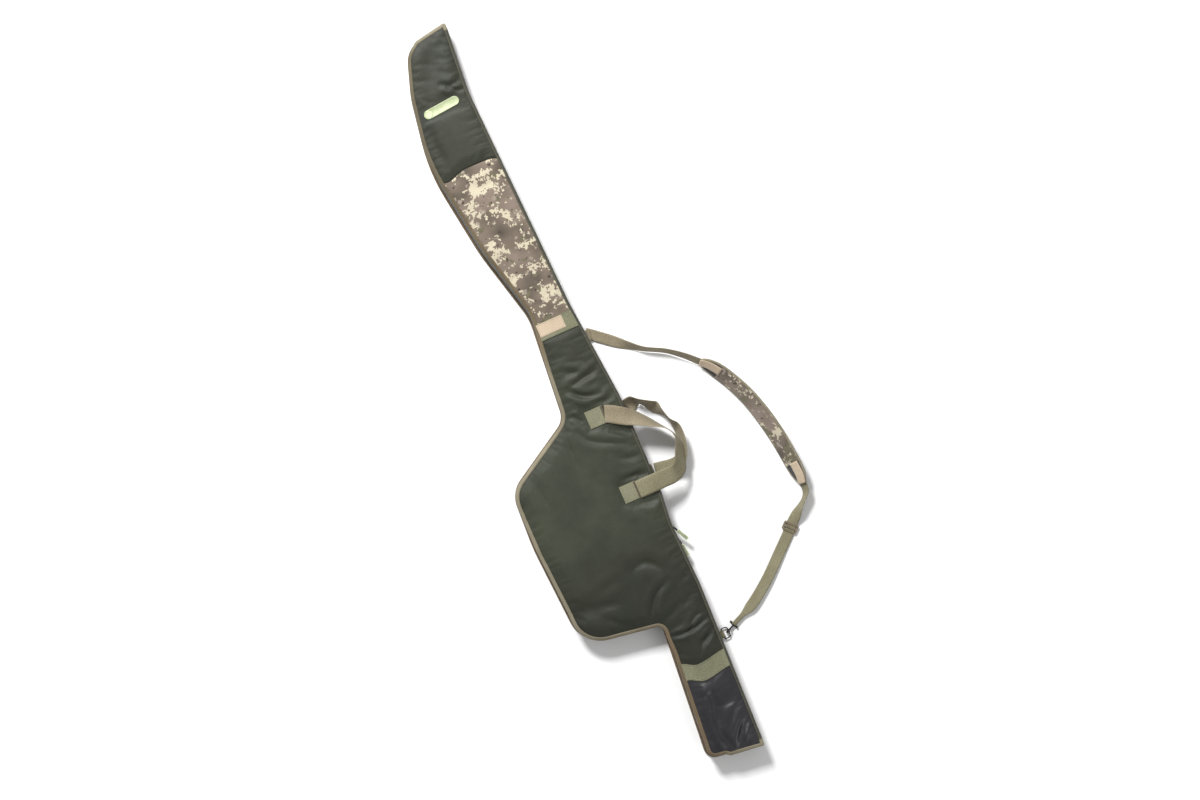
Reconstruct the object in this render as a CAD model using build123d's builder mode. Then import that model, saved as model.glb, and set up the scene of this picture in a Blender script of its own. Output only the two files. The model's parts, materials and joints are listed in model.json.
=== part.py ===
"""A two-piece rod case with a reel pocket, lying on its back, in millimetres.

X runs across the case, with the zip, handles and shoulder strap on +X and the reel pocket on -X.
Y runs along the case, with the tip on +Y. The floor is Z = 0.
"""

import math
import os

from build123d import *

os.makedirs("parts", exist_ok=True)

# ---------------------------------------------------------------- driving sizes
HALF_LENGTH = 1025.0
CASE_DEPTH = 56.0
COVER = 1.5
FOAM = 4.0
LINING = 1.0
BINDING_WIDTH = 6.0
GUSSET_WALL = 3.0
WEBBING = 1.4
STRAP_THICKNESS = 2.4
GAP = 0.4

PANEL = COVER + FOAM + LINING
FRONT_LOW = CASE_DEPTH - PANEL

# The outline's corners as (x, y, radius), from the tip's zip-side corner and on past the pocket.
OUTLINE = [
    (0, HALF_LENGTH, 6),
    (-122, 1004, 70),
    (-163, 885, 300),
    (-197, 690, 500),
    (-163, 440, 600),
    (-113, 236, 160),
    (-139, -43, 48),
    (-338, -161, 75),
    (-346, -320, 400),
    (-331, -603, 88),
    (-120, -637, 16),
    (-153, -1006, 30),
    (0, -HALF_LENGTH, 6),
    (16, -570, 200),
    (11, -400, 60),
    (20, -320, 80),
    (23, -45, 300),
    (0, 230, 500),
    (-17, 840, 300),
]

# The front panel folds open along a straight line beside the pocket.
FOLD_X = -100.0
FOLD_Z = CASE_DEPTH + WEBBING + 0.2
FLAP_TOP = 800.0
FLAP_BOTTOM = -1000.0

# Seams across the front, from the tip to the butt.
HOOD_SEAM = 644.0
WAIST_SEAM = 188.0
BUTT_SEAM = -767.0
BAND_WIDTH = 46.0

# The zip's two straight stretches, on the outer face of the gusset.
ZIP_TOP = (-22.5, FLAP_TOP)
ZIP_BEND = (4.5, -430.0)
ZIP_BOTTOM = (-6.0, FLAP_BOTTOM)
ZIP_Z = CASE_DEPTH / 2
TAPE = 0.8
TAPE_WIDTH = 9.4
COIL_DEPTH = 1.5
COIL_WIDTH = 1.4
COIL_GAP = 1.2

# Straps and handles.
HANDLE_WIDTH = 44.0
STRAP_WIDTH = 30.0
FRONT_HANDLE_X = -30.0
BACK_HANDLE_X = 28.0
BACK_HANDLE_LOW = 1.8
SWING_X = 18.0
SWING_Z = 5.7
STRAP_LOW = 1.0

pieces = {}


# ---------------------------------------------------------------- plan outlines
with BuildSketch() as case_plan:
    with BuildLine():
        FilletPolyline(
            *[(x, y) for x, y, _ in OUTLINE],
            radius=[radius for _, _, radius in OUTLINE],
            close=True,
        )
    make_face()

panel_plan = offset(case_plan.sketch, -BINDING_WIDTH, mode=Mode.PRIVATE)
inner_plan = offset(case_plan.sketch, -BINDING_WIDTH - GUSSET_WALL, mode=Mode.PRIVATE)


def keep_rows(low_y, high_y):
    """Keeps the open sketch between two lines across the case."""
    with Locations((0, (low_y + high_y) / 2)):
        Rectangle(1000, high_y - low_y, mode=Mode.INTERSECT)


def flap_window(gap, mode):
    """Keeps or removes the area that folds open, from the fold line to past the zip."""
    width = 200
    with Locations((FOLD_X + gap + width / 2, (FLAP_TOP + FLAP_BOTTOM) / 2)):
        Rectangle(width, FLAP_TOP - FLAP_BOTTOM - 2 * gap, mode=mode)


def panel_piece(plan, low_z, thickness, rows=None, on_flap=None, hole=None):
    """A flat layer of a panel: all of it, or the part on the flap, or the part beside it."""
    with BuildPart() as layer:
        with BuildSketch(Plane.XY.offset(low_z)):
            add(plan)
            if hole:
                add(hole, mode=Mode.SUBTRACT)
            if rows:
                keep_rows(*rows)
            if on_flap is True:
                flap_window(GAP, Mode.INTERSECT)
            if on_flap is False:
                flap_window(0, Mode.SUBTRACT)
        extrude(amount=thickness)
    return layer.part


def block(x_range, y_range, z_range, corner=0):
    """An upright block between two limits on each axis, its upright edges rounded."""
    with BuildPart() as box:
        middle = [(low + high) / 2 for low, high in (x_range, y_range, z_range)]
        size = [high - low for low, high in (x_range, y_range, z_range)]
        with Locations(tuple(middle)):
            Box(*size)
        if corner:
            fillet(box.edges().filter_by(Axis.Z), corner)
    return box.part


# ---------------------------------------------------------------- back panel
def handle_tail(y):
    """The back handle's sewn end, let into the underside so that the back stays flat."""
    return block((-75, BACK_HANDLE_X - 2.5), (y - 25, y + 25), (0, WEBBING))


BACK_TAILS = [-81.0, -262.0]
with BuildPart() as handle_tails_back:
    for tail_y in BACK_TAILS:
        add(handle_tail(tail_y))
pieces["handle_tails_back"] = handle_tails_back.part

with BuildPart() as back_cover:
    add(panel_piece(panel_plan, 0, COVER))
    add(handle_tails_back.part, mode=Mode.SUBTRACT)
pieces["back_cover"] = back_cover.part
pieces["back_foam"] = panel_piece(panel_plan, COVER, FOAM)
pieces["back_lining"] = panel_piece(panel_plan, COVER + FOAM, LINING)

with BuildPart() as back_binding:
    add(panel_piece(case_plan.sketch, 0.4, PANEL, hole=panel_plan))
    add(handle_tails_back.part, mode=Mode.SUBTRACT)
pieces["back_binding"] = back_binding.part


# ---------------------------------------------------------------- sides and zip
def zip_x(y):
    """Where the gusset's face stands at one place along the zip."""
    far_x, far_y = ZIP_TOP if y > ZIP_BEND[1] else ZIP_BOTTOM
    share = (y - ZIP_BEND[1]) / (far_y - ZIP_BEND[1])
    return ZIP_BEND[0] + share * (far_x - ZIP_BEND[0])


def zip_angle(y):
    """How far the zip's line there turns from the Y axis, in degrees about Z."""
    far_x, far_y = ZIP_TOP if y > ZIP_BEND[1] else ZIP_BOTTOM
    return math.degrees(math.atan((ZIP_BEND[0] - far_x) / (far_y - ZIP_BEND[1])))


def zip_band(inner, outer, low_z, high_z, gap=0.0, parting=0.0):
    """A thin wall along both stretches of the zip, between two distances out of the gusset.

    The ends stop short by the gap, and a parting makes each straight stretch its own solid.
    """
    upper = (ZIP_TOP[1] - gap, ZIP_BEND[1] + parting)
    lower = (ZIP_BEND[1] - parting, ZIP_BOTTOM[1] + gap)
    with BuildPart() as band:
        with BuildSketch(Plane.XY.offset(low_z)):
            for high_y, low_y in (upper, lower):
                with BuildLine():
                    Polyline(
                        (zip_x(high_y) + inner, high_y),
                        (zip_x(low_y) + inner, low_y),
                        (zip_x(low_y) + outer, low_y),
                        (zip_x(high_y) + outer, high_y),
                        close=True,
                    )
                make_face()
        extrude(amount=high_z - low_z)
    return band.part


GUSSET_HALF = 7.0
COIL_LOW = ZIP_Z - COIL_GAP / 2
COIL_HIGH = ZIP_Z + COIL_GAP / 2
COIL_FACE = TAPE + COIL_DEPTH

pieces["side_gusset"] = panel_piece(
    panel_plan, PANEL, FRONT_LOW - PANEL, on_flap=False, hole=inner_plan
)
pieces["spine_gusset_lower"] = zip_band(
    -GUSSET_WALL, 0, PANEL, ZIP_Z - GUSSET_HALF, parting=0.1
)
pieces["spine_gusset_upper"] = zip_band(
    -GUSSET_WALL, 0, ZIP_Z + GUSSET_HALF, FRONT_LOW, GAP, parting=0.1
)
pieces["zip_tape_case"] = zip_band(0, TAPE, COIL_LOW - TAPE_WIDTH, COIL_LOW)
pieces["zip_tape_flap"] = zip_band(0, TAPE, COIL_HIGH, COIL_HIGH + TAPE_WIDTH, GAP)
pieces["zip_teeth_case"] = zip_band(TAPE, COIL_FACE, COIL_LOW - COIL_WIDTH, COIL_LOW, 8)
pieces["zip_teeth_flap"] = zip_band(
    TAPE, COIL_FACE, COIL_HIGH, COIL_HIGH + COIL_WIDTH, 8
)

with BuildPart() as zip_stops:
    for stop_x, stop_y in ((ZIP_TOP[0], ZIP_TOP[1] - 3), (ZIP_BOTTOM[0], ZIP_BOTTOM[1] + 3)):
        with Locations((stop_x + TAPE + 1.2, stop_y, COIL_LOW - 2)):
            Box(2, 4, 4)
pieces["zip_stops"] = zip_stops.part


# ---------------------------------------------------------------- sliders and pulls
UPPER_SLIDER_Y = -414.0
LOWER_SLIDER_Y = -450.0
PLATE_OUT = 4.2
PLATE_IN = -2.0
PLATE = 1.4
SLIDER_LENGTH = 12.0
SLIDER_WIDTH = 12.0
CROWN_REACH = 8.0
CROWN_BAR_RADIUS = 0.8
LINK_LENGTH = 14.0
GRIP_LENGTH = 37.0
GRIP_WIDTH = 10.0
GRIP_THICKNESS = 2.6


def zip_plane(y, outward):
    """The plane of a slider's plates: its x runs up the zip and its z out of the gusset."""
    angle = math.radians(zip_angle(y))
    up = Vector(-math.sin(angle), math.cos(angle), 0)
    out = Vector(math.cos(angle), math.sin(angle), 0)
    return Plane(Vector(zip_x(y), y, ZIP_Z) + out * outward, x_dir=up, z_dir=out)


def slider(y, opens):
    """A slider: plates in and out of the tape, the wedge between them and the pull's crown."""
    wedge_length = 4.0
    wedge_place = -opens * (SLIDER_LENGTH - wedge_length) / 2
    with BuildPart() as body:
        for low, high in ((PLATE_IN, PLATE_IN + PLATE), (PLATE_OUT, PLATE_OUT + PLATE)):
            with BuildSketch(zip_plane(y, low)):
                RectangleRounded(SLIDER_LENGTH, SLIDER_WIDTH, 2)
            extrude(amount=high - low)
        with BuildSketch(zip_plane(y, PLATE_IN + PLATE)):
            with Locations((wedge_place, 0)):
                Rectangle(wedge_length, 0.8)
        extrude(amount=PLATE_OUT - PLATE_IN - PLATE)
        with BuildSketch(zip_plane(y, PLATE_OUT + PLATE)):
            with Locations((0, SLIDER_WIDTH / 2 - 1), (0, 1 - SLIDER_WIDTH / 2)):
                Rectangle(3, 1.6)
        extrude(amount=CROWN_REACH + 0.8 - PLATE_OUT - PLATE)
        with Locations(crown(y) + (ZIP_Z,)):
            Cylinder(CROWN_BAR_RADIUS, SLIDER_WIDTH - 2)
    return body.part


def crown(y):
    """The point that a slider's pull turns about."""
    angle = math.radians(zip_angle(y))
    return (zip_x(y) + CROWN_REACH * math.cos(angle), y + CROWN_REACH * math.sin(angle))


def pull_link(y, z, outward):
    """The metal link on a slider's crown; outward is its angle from straight down the zip."""
    with BuildPart() as link:
        with BuildSketch(Plane(crown(y) + (z - 0.6,)).rotated((0, 0, outward))):
            with Locations((0, -LINK_LENGTH / 2)):
                SlotCenterToCenter(LINK_LENGTH, 4.6, rotation=90)
            with Locations((0, -0.4)):
                Circle(CROWN_BAR_RADIUS + 0.8, mode=Mode.SUBTRACT)
        extrude(amount=1.2)
    return link.part


def pull_grip(y, z, outward):
    """The moulded rubber grip, with a waist and cross ribs, at the end of the link."""
    near = LINK_LENGTH - 2
    with BuildPart() as grip:
        with BuildSketch(Plane(crown(y) + (z - GRIP_THICKNESS / 2,)).rotated((0, 0, outward))):
            with Locations((0, -near - GRIP_LENGTH / 2)):
                RectangleRounded(GRIP_WIDTH, GRIP_LENGTH, 3)
        extrude(amount=GRIP_THICKNESS)
        add(pull_link(y, z, outward), mode=Mode.SUBTRACT)
    return grip.part


PULLS = {
    "upper": (UPPER_SLIDER_Y, ZIP_Z + 2.2, 27.0, 1),
    "lower": (LOWER_SLIDER_Y, ZIP_Z - 2.2, 6.0, -1),
}
for pull_name, (pull_y, pull_z, pull_angle, pull_way) in PULLS.items():
    pieces[f"slider_{pull_name}"] = slider(pull_y, pull_way)
    pieces[f"pull_link_{pull_name}"] = pull_link(pull_y, pull_z, pull_angle)
    pieces[f"pull_grip_{pull_name}"] = pull_grip(pull_y, pull_z, pull_angle)


# ---------------------------------------------------------------- front panel
COVER_Z = CASE_DEPTH - COVER
FRONT_COVERS = {
    "head": (HOOD_SEAM, HALF_LENGTH),
    "camo": (WAIST_SEAM, HOOD_SEAM),
    "main": (BUTT_SEAM, WAIST_SEAM),
    "butt": (-HALF_LENGTH, BUTT_SEAM),
}
for cover_name, rows in FRONT_COVERS.items():
    for side_name, on_flap in (("side", False), ("flap", True)):
        pieces[f"{cover_name}_{side_name}"] = panel_piece(
            panel_plan, COVER_Z, COVER, rows, on_flap
        )
for side_name, on_flap in (("side", False), ("flap", True)):
    pieces[f"front_foam_{side_name}"] = panel_piece(
        panel_plan, COVER_Z - FOAM, FOAM, on_flap=on_flap
    )
    pieces[f"front_lining_{side_name}"] = panel_piece(
        panel_plan, FRONT_LOW, LINING, on_flap=on_flap
    )
    pieces[f"front_binding_{side_name}"] = panel_piece(
        case_plan.sketch, FRONT_LOW, PANEL, on_flap=on_flap, hole=panel_plan
    )
    for band_name, band_y in (("waist", WAIST_SEAM), ("lower", BUTT_SEAM)):
        pieces[f"{band_name}_band_{side_name}"] = panel_piece(
            panel_plan, CASE_DEPTH, WEBBING,
            (band_y - BAND_WIDTH / 2, band_y + BAND_WIDTH / 2), on_flap,
        )

BAND_TOP = CASE_DEPTH + WEBBING
pieces["waist_label"] = block(
    (FOLD_X + GAP, -32), (WAIST_SEAM - 13, WAIST_SEAM + 21), (BAND_TOP, BAND_TOP + 0.8)
)

# A plain moulded badge: a rounded plate with a raised round boss at its pocket-side end.
BADGE = (-98.0, 824.0)
with BuildPart() as badge_plate:
    with BuildSketch(Plane.XY.offset(CASE_DEPTH)):
        with Locations(BADGE):
            SlotOverall(100, 24)
    extrude(amount=1.6)
    fillet(badge_plate.faces().sort_by(Axis.Z)[-1].edges(), 0.6)
pieces["badge_plate"] = badge_plate.part
with BuildPart() as badge_boss:
    with BuildSketch(Plane.XY.offset(CASE_DEPTH + 1.6)):
        with Locations((BADGE[0] - 37, BADGE[1])):
            Circle(10)
    extrude(amount=1.0)
    fillet(badge_boss.faces().sort_by(Axis.Z)[-1].edges(), 0.5)
pieces["badge_boss"] = badge_boss.part


# ---------------------------------------------------------------- inside
with BuildPart() as rod_bands:
    for band_y in (600.0, 60.0, -880.0):
        with Locations((-64, band_y, PANEL + 0.7)):
            Box(72, 38, WEBBING)
pieces["rod_bands"] = rod_bands.part


# ---------------------------------------------------------------- handles
def ribbon(route, width, low_z, thickness, ends=None):
    """A flat strip of even width along a smooth route, with set directions at its two ends."""
    centre = Edge.make_spline([Vector(*point) for point in route], tangents=ends)
    stations = [step / (2 * len(route)) for step in range(2 * len(route) + 1)]
    edges = {}
    for side in (-1, 1):
        edges[side] = [
            centre.position_at(u) + centre.tangent_at(u).rotate(Axis.Z, 90) * (side * width / 2)
            for u in stations
        ]
    with BuildPart() as strip:
        with BuildSketch(Plane.XY.offset(low_z)):
            with BuildLine():
                Spline(*edges[-1])
                Spline(*edges[1])
                Line(edges[-1][0], edges[1][0])
                Line(edges[-1][-1], edges[1][-1])
            make_face()
        extrude(amount=thickness)
    return strip.part


FRONT_PATCHES = ((-81.0, -71.0), (-75.0, -284.0))
with BuildPart() as handle_patches_front:
    for patch_x, patch_y in FRONT_PATCHES:
        add(
            block(
                (patch_x, FRONT_HANDLE_X - 2.5),
                (patch_y - HANDLE_WIDTH / 2, patch_y + HANDLE_WIDTH / 2),
                (CASE_DEPTH, CASE_DEPTH + WEBBING),
            )
        )
pieces["handle_patches_front"] = handle_patches_front.part

FRONT_HANDLE_LOW = CASE_DEPTH + WEBBING
FRONT_HANDLE_ROUTE = [
    (FRONT_HANDLE_X + 0.4, -71),
    (20, -77),
    (84, -118),
    (122, -190),
    (112, -262),
    (66, -292),
    (20, -289),
    (FRONT_HANDLE_X + 0.4, -284),
]
BACK_HANDLE_ROUTE = [
    (BACK_HANDLE_X + 0.2, -81),
    (64, -88),
    (100, -122),
    (118, -178),
    (104, -236),
    (64, -259),
    (BACK_HANDLE_X + 0.2, -262),
]
HANDLE_ENDS = (Vector(1, 0), Vector(-1, 0))
pieces["handle_front"] = ribbon(
    FRONT_HANDLE_ROUTE, HANDLE_WIDTH, FRONT_HANDLE_LOW, STRAP_THICKNESS, HANDLE_ENDS
)
pieces["handle_back"] = ribbon(
    BACK_HANDLE_ROUTE, HANDLE_WIDTH, BACK_HANDLE_LOW, STRAP_THICKNESS, HANDLE_ENDS
)


# ---------------------------------------------------------------- shoulder strap
UPPER_ANCHOR_Y = 132.0
LOWER_ANCHOR_Y = -722.0
PAD_START = (283.0, -95.0)
PAD_MIDDLE = (345.0, -250.0)
PAD_END = (367.0, -437.0)
PAD_WIDTH = 57.0
HOOK_START = (53.0, -711.0)
STRAP_ROUTE = [
    (SWING_X + 1, UPPER_ANCHOR_Y),
    (34, 122),
    (66, 95),
    (130, 43),
    (190, 3),
    (243, -46),
    PAD_START,
    PAD_MIDDLE,
    PAD_END,
    (356, -478),
    (308, -522),
    (246, -579),
    (186, -633),
    (122, -680),
    HOOK_START,
]
pieces["shoulder_strap"] = ribbon(STRAP_ROUTE, STRAP_WIDTH, STRAP_LOW, STRAP_THICKNESS)
STRAP_TOP = STRAP_LOW + STRAP_THICKNESS

pieces["strap_tab_upper"] = block(
    (zip_x(UPPER_ANCHOR_Y) + 1, SWING_X),
    (UPPER_ANCHOR_Y - 15, UPPER_ANCHOR_Y + 15),
    (PANEL + 0.4, PANEL + 1.6),
)


def pad_layer(width, low_z, thickness, shorten=0.0):
    """One layer of the shoulder pad, a long slot bent along the strap's arc."""
    with BuildPart() as layer:
        with BuildSketch(Plane.XY.offset(low_z)):
            with BuildLine(mode=Mode.PRIVATE) as middle:
                ThreePointArc(PAD_START, PAD_MIDDLE, PAD_END)
            arc = middle.edges()[0]
            SlotArc(arc.trim(shorten, 1 - shorten), width)
        extrude(amount=thickness)
    return layer.part


pieces["pad_core"] = pad_layer(PAD_WIDTH, STRAP_TOP + 0.4, 5.0)
pieces["pad_cover"] = pad_layer(PAD_WIDTH - 4, STRAP_TOP + 5.4, 1.6, 0.06)

# The adjuster is a flat frame with two slots and a middle bar, on the strap's straight run.
ADJUSTER = (290.0, -538.5)
STRAP_RUN_ANGLE = math.degrees(math.atan2(-633 + 522, 186 - 308))
with BuildPart() as adjuster:
    with BuildSketch(Plane(ADJUSTER + (STRAP_TOP + 0.4,)).rotated((0, 0, STRAP_RUN_ANGLE))):
        RectangleRounded(24, 40, 4)
        with Locations((-5, 0), (5, 0)):
            RectangleRounded(5, 32, 1.5, mode=Mode.SUBTRACT)
    extrude(amount=3)
pieces["adjuster"] = adjuster.part

# The D-ring turns in a tab on the back seam, and the strap's hook hangs on its bow.
RING_WIRE = 1.6
RING_REACH = 16.0
RING_HALF = 14.0
with BuildPart() as d_ring:
    ring_plane = Plane((SWING_X, LOWER_ANCHOR_Y, SWING_Z))
    with BuildLine(ring_plane) as ring_route:
        FilletPolyline(
            (0, -RING_HALF),
            (RING_REACH, -RING_HALF),
            (RING_REACH, RING_HALF),
            (0, RING_HALF),
            radius=[7, 7],
            close=False,
        )
    with BuildSketch(Plane(ring_route.line @ 0, z_dir=ring_route.line % 0)):
        Circle(RING_WIRE)
    sweep()
    with Locations((SWING_X, LOWER_ANCHOR_Y, SWING_Z)):
        Cylinder(RING_WIRE, 2 * RING_HALF, rotation=(90, 0, 0))
        with Locations((0, RING_HALF, 0), (0, -RING_HALF, 0)):
            Sphere(RING_WIRE)
pieces["d_ring"] = d_ring.part

TAB_HOLE = RING_WIRE + 0.4
with BuildPart() as strap_tab_lower:
    tab_plane = Plane((0, LOWER_ANCHOR_Y, 0), x_dir=(1, 0, 0), z_dir=(0, -1, 0))
    with BuildSketch(tab_plane):
        with Locations((SWING_X, SWING_Z)):
            Circle(TAB_HOLE + 1.3)
        with Locations((1, PANEL + 0.4)):
            Rectangle(SWING_X - 1, 1.6, align=(Align.MIN, Align.MIN))
        with Locations((SWING_X, SWING_Z)):
            Circle(TAB_HOLE, mode=Mode.SUBTRACT)
    extrude(amount=10, both=True)
pieces["strap_tab_lower"] = strap_tab_lower.part

# The hook stands on edge: a strap bar, a neck, and an eye in the upright plane of the strap.
HOOK_EYE = 4.6
HOOK_RIM = 8.0
HOOK_THICKNESS = 4.0
HOOK_EYE_Z = SWING_Z + HOOK_EYE - RING_WIRE - 0.5
hook_target = Vector(SWING_X + RING_REACH, LOWER_ANCHOR_Y + 3, 0)
hook_way = (hook_target - Vector(*HOOK_START)).normalized()
hook_angle = math.degrees(math.atan2(hook_way.Y, hook_way.X))
hook_reach = (hook_target - Vector(*HOOK_START)).length
hook_upright = Plane(
    hook_target + Vector(0, 0, HOOK_EYE_Z), x_dir=hook_way, z_dir=hook_way.cross(Vector(0, 0, 1))
)
with BuildPart() as strap_hook:
    with BuildSketch(hook_upright):
        Circle(HOOK_RIM)
        with Locations((-hook_reach - 1, -4.5)):
            Rectangle(hook_reach - HOOK_EYE, 5, align=(Align.MIN, Align.MIN))
        Circle(HOOK_EYE, mode=Mode.SUBTRACT)
        with Locations((-1, HOOK_RIM - 1)):
            Rectangle(8, 6, mode=Mode.SUBTRACT)
    extrude(amount=HOOK_THICKNESS / 2, both=True)
    with Locations(Location(HOOK_START + (STRAP_LOW + 2.4,), (0, 0, hook_angle))):
        with Locations((-0.5, 0, 0)):
            Box(5, STRAP_WIDTH - 4, 5)
    add(pieces["shoulder_strap"], mode=Mode.SUBTRACT)
pieces["strap_hook"] = strap_hook.part

# The gate closes the gap in the eye's upper rim and pivots at its strap end.
with BuildPart() as hook_gate:
    with BuildSketch(hook_upright):
        with Locations((-1, HOOK_RIM - 2.3)):
            RectangleRounded(7.0, 1.8, 0.8)
    extrude(amount=1.5, both=True)
pieces["hook_gate"] = hook_gate.part


# ---------------------------------------------------------------- files
for piece_name, piece in pieces.items():
    piece.label = piece_name
    export_step(piece, f"parts/{piece_name}.step")
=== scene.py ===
"""Looks of the rod case: sewn cloth, tapes, webbing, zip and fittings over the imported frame, in metres.

X runs across the case, with the zip and handles on +X. Y runs along it, its tip on +Y. The floor is Z = 0.
"""

import json
import math

import bmesh
import bpy
import numpy as np
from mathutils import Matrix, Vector, geometry, noise
from mathutils.bvhtree import BVHTree
from mathutils.kdtree import KDTree


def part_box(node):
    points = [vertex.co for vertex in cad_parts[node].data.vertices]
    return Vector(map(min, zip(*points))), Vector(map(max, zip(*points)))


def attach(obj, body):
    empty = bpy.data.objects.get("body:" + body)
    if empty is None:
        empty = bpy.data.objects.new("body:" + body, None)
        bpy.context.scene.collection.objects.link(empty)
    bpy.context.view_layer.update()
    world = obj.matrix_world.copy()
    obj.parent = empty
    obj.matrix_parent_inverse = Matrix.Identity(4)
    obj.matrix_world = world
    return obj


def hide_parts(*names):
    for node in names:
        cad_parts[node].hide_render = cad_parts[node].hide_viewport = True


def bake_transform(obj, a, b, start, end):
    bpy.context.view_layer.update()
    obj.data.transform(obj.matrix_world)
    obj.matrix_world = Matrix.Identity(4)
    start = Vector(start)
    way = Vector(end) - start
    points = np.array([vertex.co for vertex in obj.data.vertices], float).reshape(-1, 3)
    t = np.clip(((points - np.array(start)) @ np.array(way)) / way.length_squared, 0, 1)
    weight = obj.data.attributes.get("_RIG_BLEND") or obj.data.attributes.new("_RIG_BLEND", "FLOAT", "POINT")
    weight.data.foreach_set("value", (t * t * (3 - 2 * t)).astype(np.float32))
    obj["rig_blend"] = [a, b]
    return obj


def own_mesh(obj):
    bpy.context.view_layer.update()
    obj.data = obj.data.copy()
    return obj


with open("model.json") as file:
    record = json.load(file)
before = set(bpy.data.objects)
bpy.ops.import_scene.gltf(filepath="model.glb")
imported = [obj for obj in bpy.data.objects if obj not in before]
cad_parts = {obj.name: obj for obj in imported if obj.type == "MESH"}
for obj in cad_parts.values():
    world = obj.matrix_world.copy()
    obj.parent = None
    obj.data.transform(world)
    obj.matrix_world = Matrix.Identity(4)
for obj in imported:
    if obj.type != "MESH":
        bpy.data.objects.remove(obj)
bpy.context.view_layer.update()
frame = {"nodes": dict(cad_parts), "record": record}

MM = 0.001
FRONT_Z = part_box("main_side")[1].z
FRONT_LOW_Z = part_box("front_lining_side")[0].z
HALF_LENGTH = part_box("back_binding")[1].y
FOLD_X = frame["record"]["behaviour"]["joints"][0]["pos_m"][0]
FLAP_LOW_Y, FLAP_HIGH_Y = (corner.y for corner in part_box("front_lining_flap"))
HOOD_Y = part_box("camo_flap")[1].y
WAIST_LOW, WAIST_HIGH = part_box("waist_band_flap")
LOWER_LOW, LOWER_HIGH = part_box("lower_band_flap")
BUTT_Y = (LOWER_LOW.y + LOWER_HIGH.y) / 2
WAIST_Y = (WAIST_LOW.y + WAIST_HIGH.y) / 2


# ---------------------------------------------------------------- camera, light and floor
def link_object(name, data):
    """An object in the scene that holds the given data."""
    made = bpy.data.objects.new(name, data)
    bpy.context.collection.objects.link(made)
    return made


def make_camera():
    """Looks straight down, turned so that the case lies aslant as it was photographed."""
    data = bpy.data.cameras.new("camera")
    data.lens = 85
    camera = link_object("camera", data)
    width_seen, level_seen, slant = 3.111, 0.05, -23.87
    distance = width_seen * data.lens / data.sensor_width
    camera.location = (-29 * MM, -34 * MM, distance + level_seen)
    camera.rotation_euler = (0, 0, math.radians(slant))
    bpy.context.scene.camera = camera


def make_light():
    """A bright even room, with one soft window beyond the tip and a weaker one over the strap."""
    world = bpy.data.worlds.new("studio")
    world.use_nodes = True
    sky = world.node_tree.nodes["Background"].inputs
    sky["Color"].default_value = (1, 1, 1, 1)
    sky["Strength"].default_value = 0.38
    bpy.context.scene.world = world
    bpy.context.scene.view_settings.view_transform = "Standard"
    for name, place, size, watts in (
        ("key", (-0.4, 4.2, 4.2), 1.4, 520),
        ("fill", (2.2, -4.4, 3.4), 2.6, 60),
    ):
        data = bpy.data.lights.new(name, "AREA")
        data.size = size
        data.energy = watts
        light = link_object(name, data)
        light.location = place
        light.rotation_euler = (-Vector(place)).to_track_quat("-Z", "Y").to_euler()


def make_floor():
    """A plain pale floor just under the case."""
    mesh = bpy.data.meshes.new("floor")
    reach = 12
    corners = [(x, y, -0.5 * MM) for y in (-reach, reach) for x in (-reach, reach)]
    mesh.from_pydata(corners, [], [(0, 1, 3, 2)])
    material, tree, shader = new_material("floor_paper", 0.9)
    paint(tree, shader, mottle(tree, (0.93, 0.93, 0.93), (0.9021, 0.9021, 0.9021), 6))
    mesh.materials.append(material)
    link_object("floor", mesh)


# ---------------------------------------------------------------- materials
def new_material(name, roughness, sheen=0.0, specular=0.5, metallic=0.0):
    """An empty material, its node tree and its shader with the even values set."""
    material = bpy.data.materials.new(name)
    material.use_nodes = True
    shader = material.node_tree.nodes["Principled BSDF"]
    sockets = ("Roughness", "Sheen Weight", "Specular IOR Level", "Metallic")
    for socket, value in zip(sockets, (roughness, sheen, specular, metallic)):
        shader.inputs[socket].default_value = value
    return material, material.node_tree, shader


def node(tree, kind, output, inputs, **settings):
    """An output of a new shader node, whose inputs each get a value or a link from another node's output."""
    made = tree.nodes.new("ShaderNode" + kind)
    for key, value in settings.items():
        setattr(made, key, value)
    for key, value in inputs.items():
        if isinstance(value, bpy.types.NodeSocket):
            tree.links.new(value, made.inputs[key])
        else:
            made.inputs[key].default_value = value
    return made.outputs[output]


def paint(tree, shader, colour, height=None, depth=0.0):
    """Links a shader's colour, and raises its surface by a height texture if one is given."""
    tree.links.new(colour, shader.inputs["Base Color"])
    if height:
        normal = node(tree, "Bump", "Normal", {"Distance": depth, "Height": height, "Strength": 1.0})
        tree.links.new(normal, shader.inputs["Normal"])


def cloth_place(tree):
    """Where a point lies on its cloth, in metres."""
    return node(tree, "UVMap", "UV", {}, uv_map="cloth")


def noise_texture(tree, scale, detail, roughness=0.5, place=None):
    """Soft noise over the cloth, or over another place."""
    inputs = {"Vector": place or cloth_place(tree), "Scale": scale, "Detail": detail, "Roughness": roughness}
    return node(tree, "TexNoise", "Fac", inputs)


def ramp(tree, source, stops):
    """A colour ramp: stops are (position, colour)."""
    colour = node(tree, "ValToRGB", "Color", {"Fac": source})
    elements = colour.node.color_ramp.elements
    while len(elements) < len(stops):
        elements.new(0.5)
    for element, (position, tone) in zip(elements, stops):
        element.position = position
        element.color = (*tone, 1)
    return colour


def mix(tree, share, below, above, **settings):
    """One colour over another by a share, which may be a value or a mask."""
    if isinstance(above, tuple):
        above = (*above, 1)
    inputs = {"Factor": share, "A": below, "B": above}
    return node(tree, "Mix", "Result", inputs, data_type="RGBA", **settings)


def mottle(tree, dark, light, scale):
    """Two tones of a colour in soft blotches."""
    return ramp(tree, noise_texture(tree, scale, 6.0, 0.6), [(0.35, dark), (0.65, light)])


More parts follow.
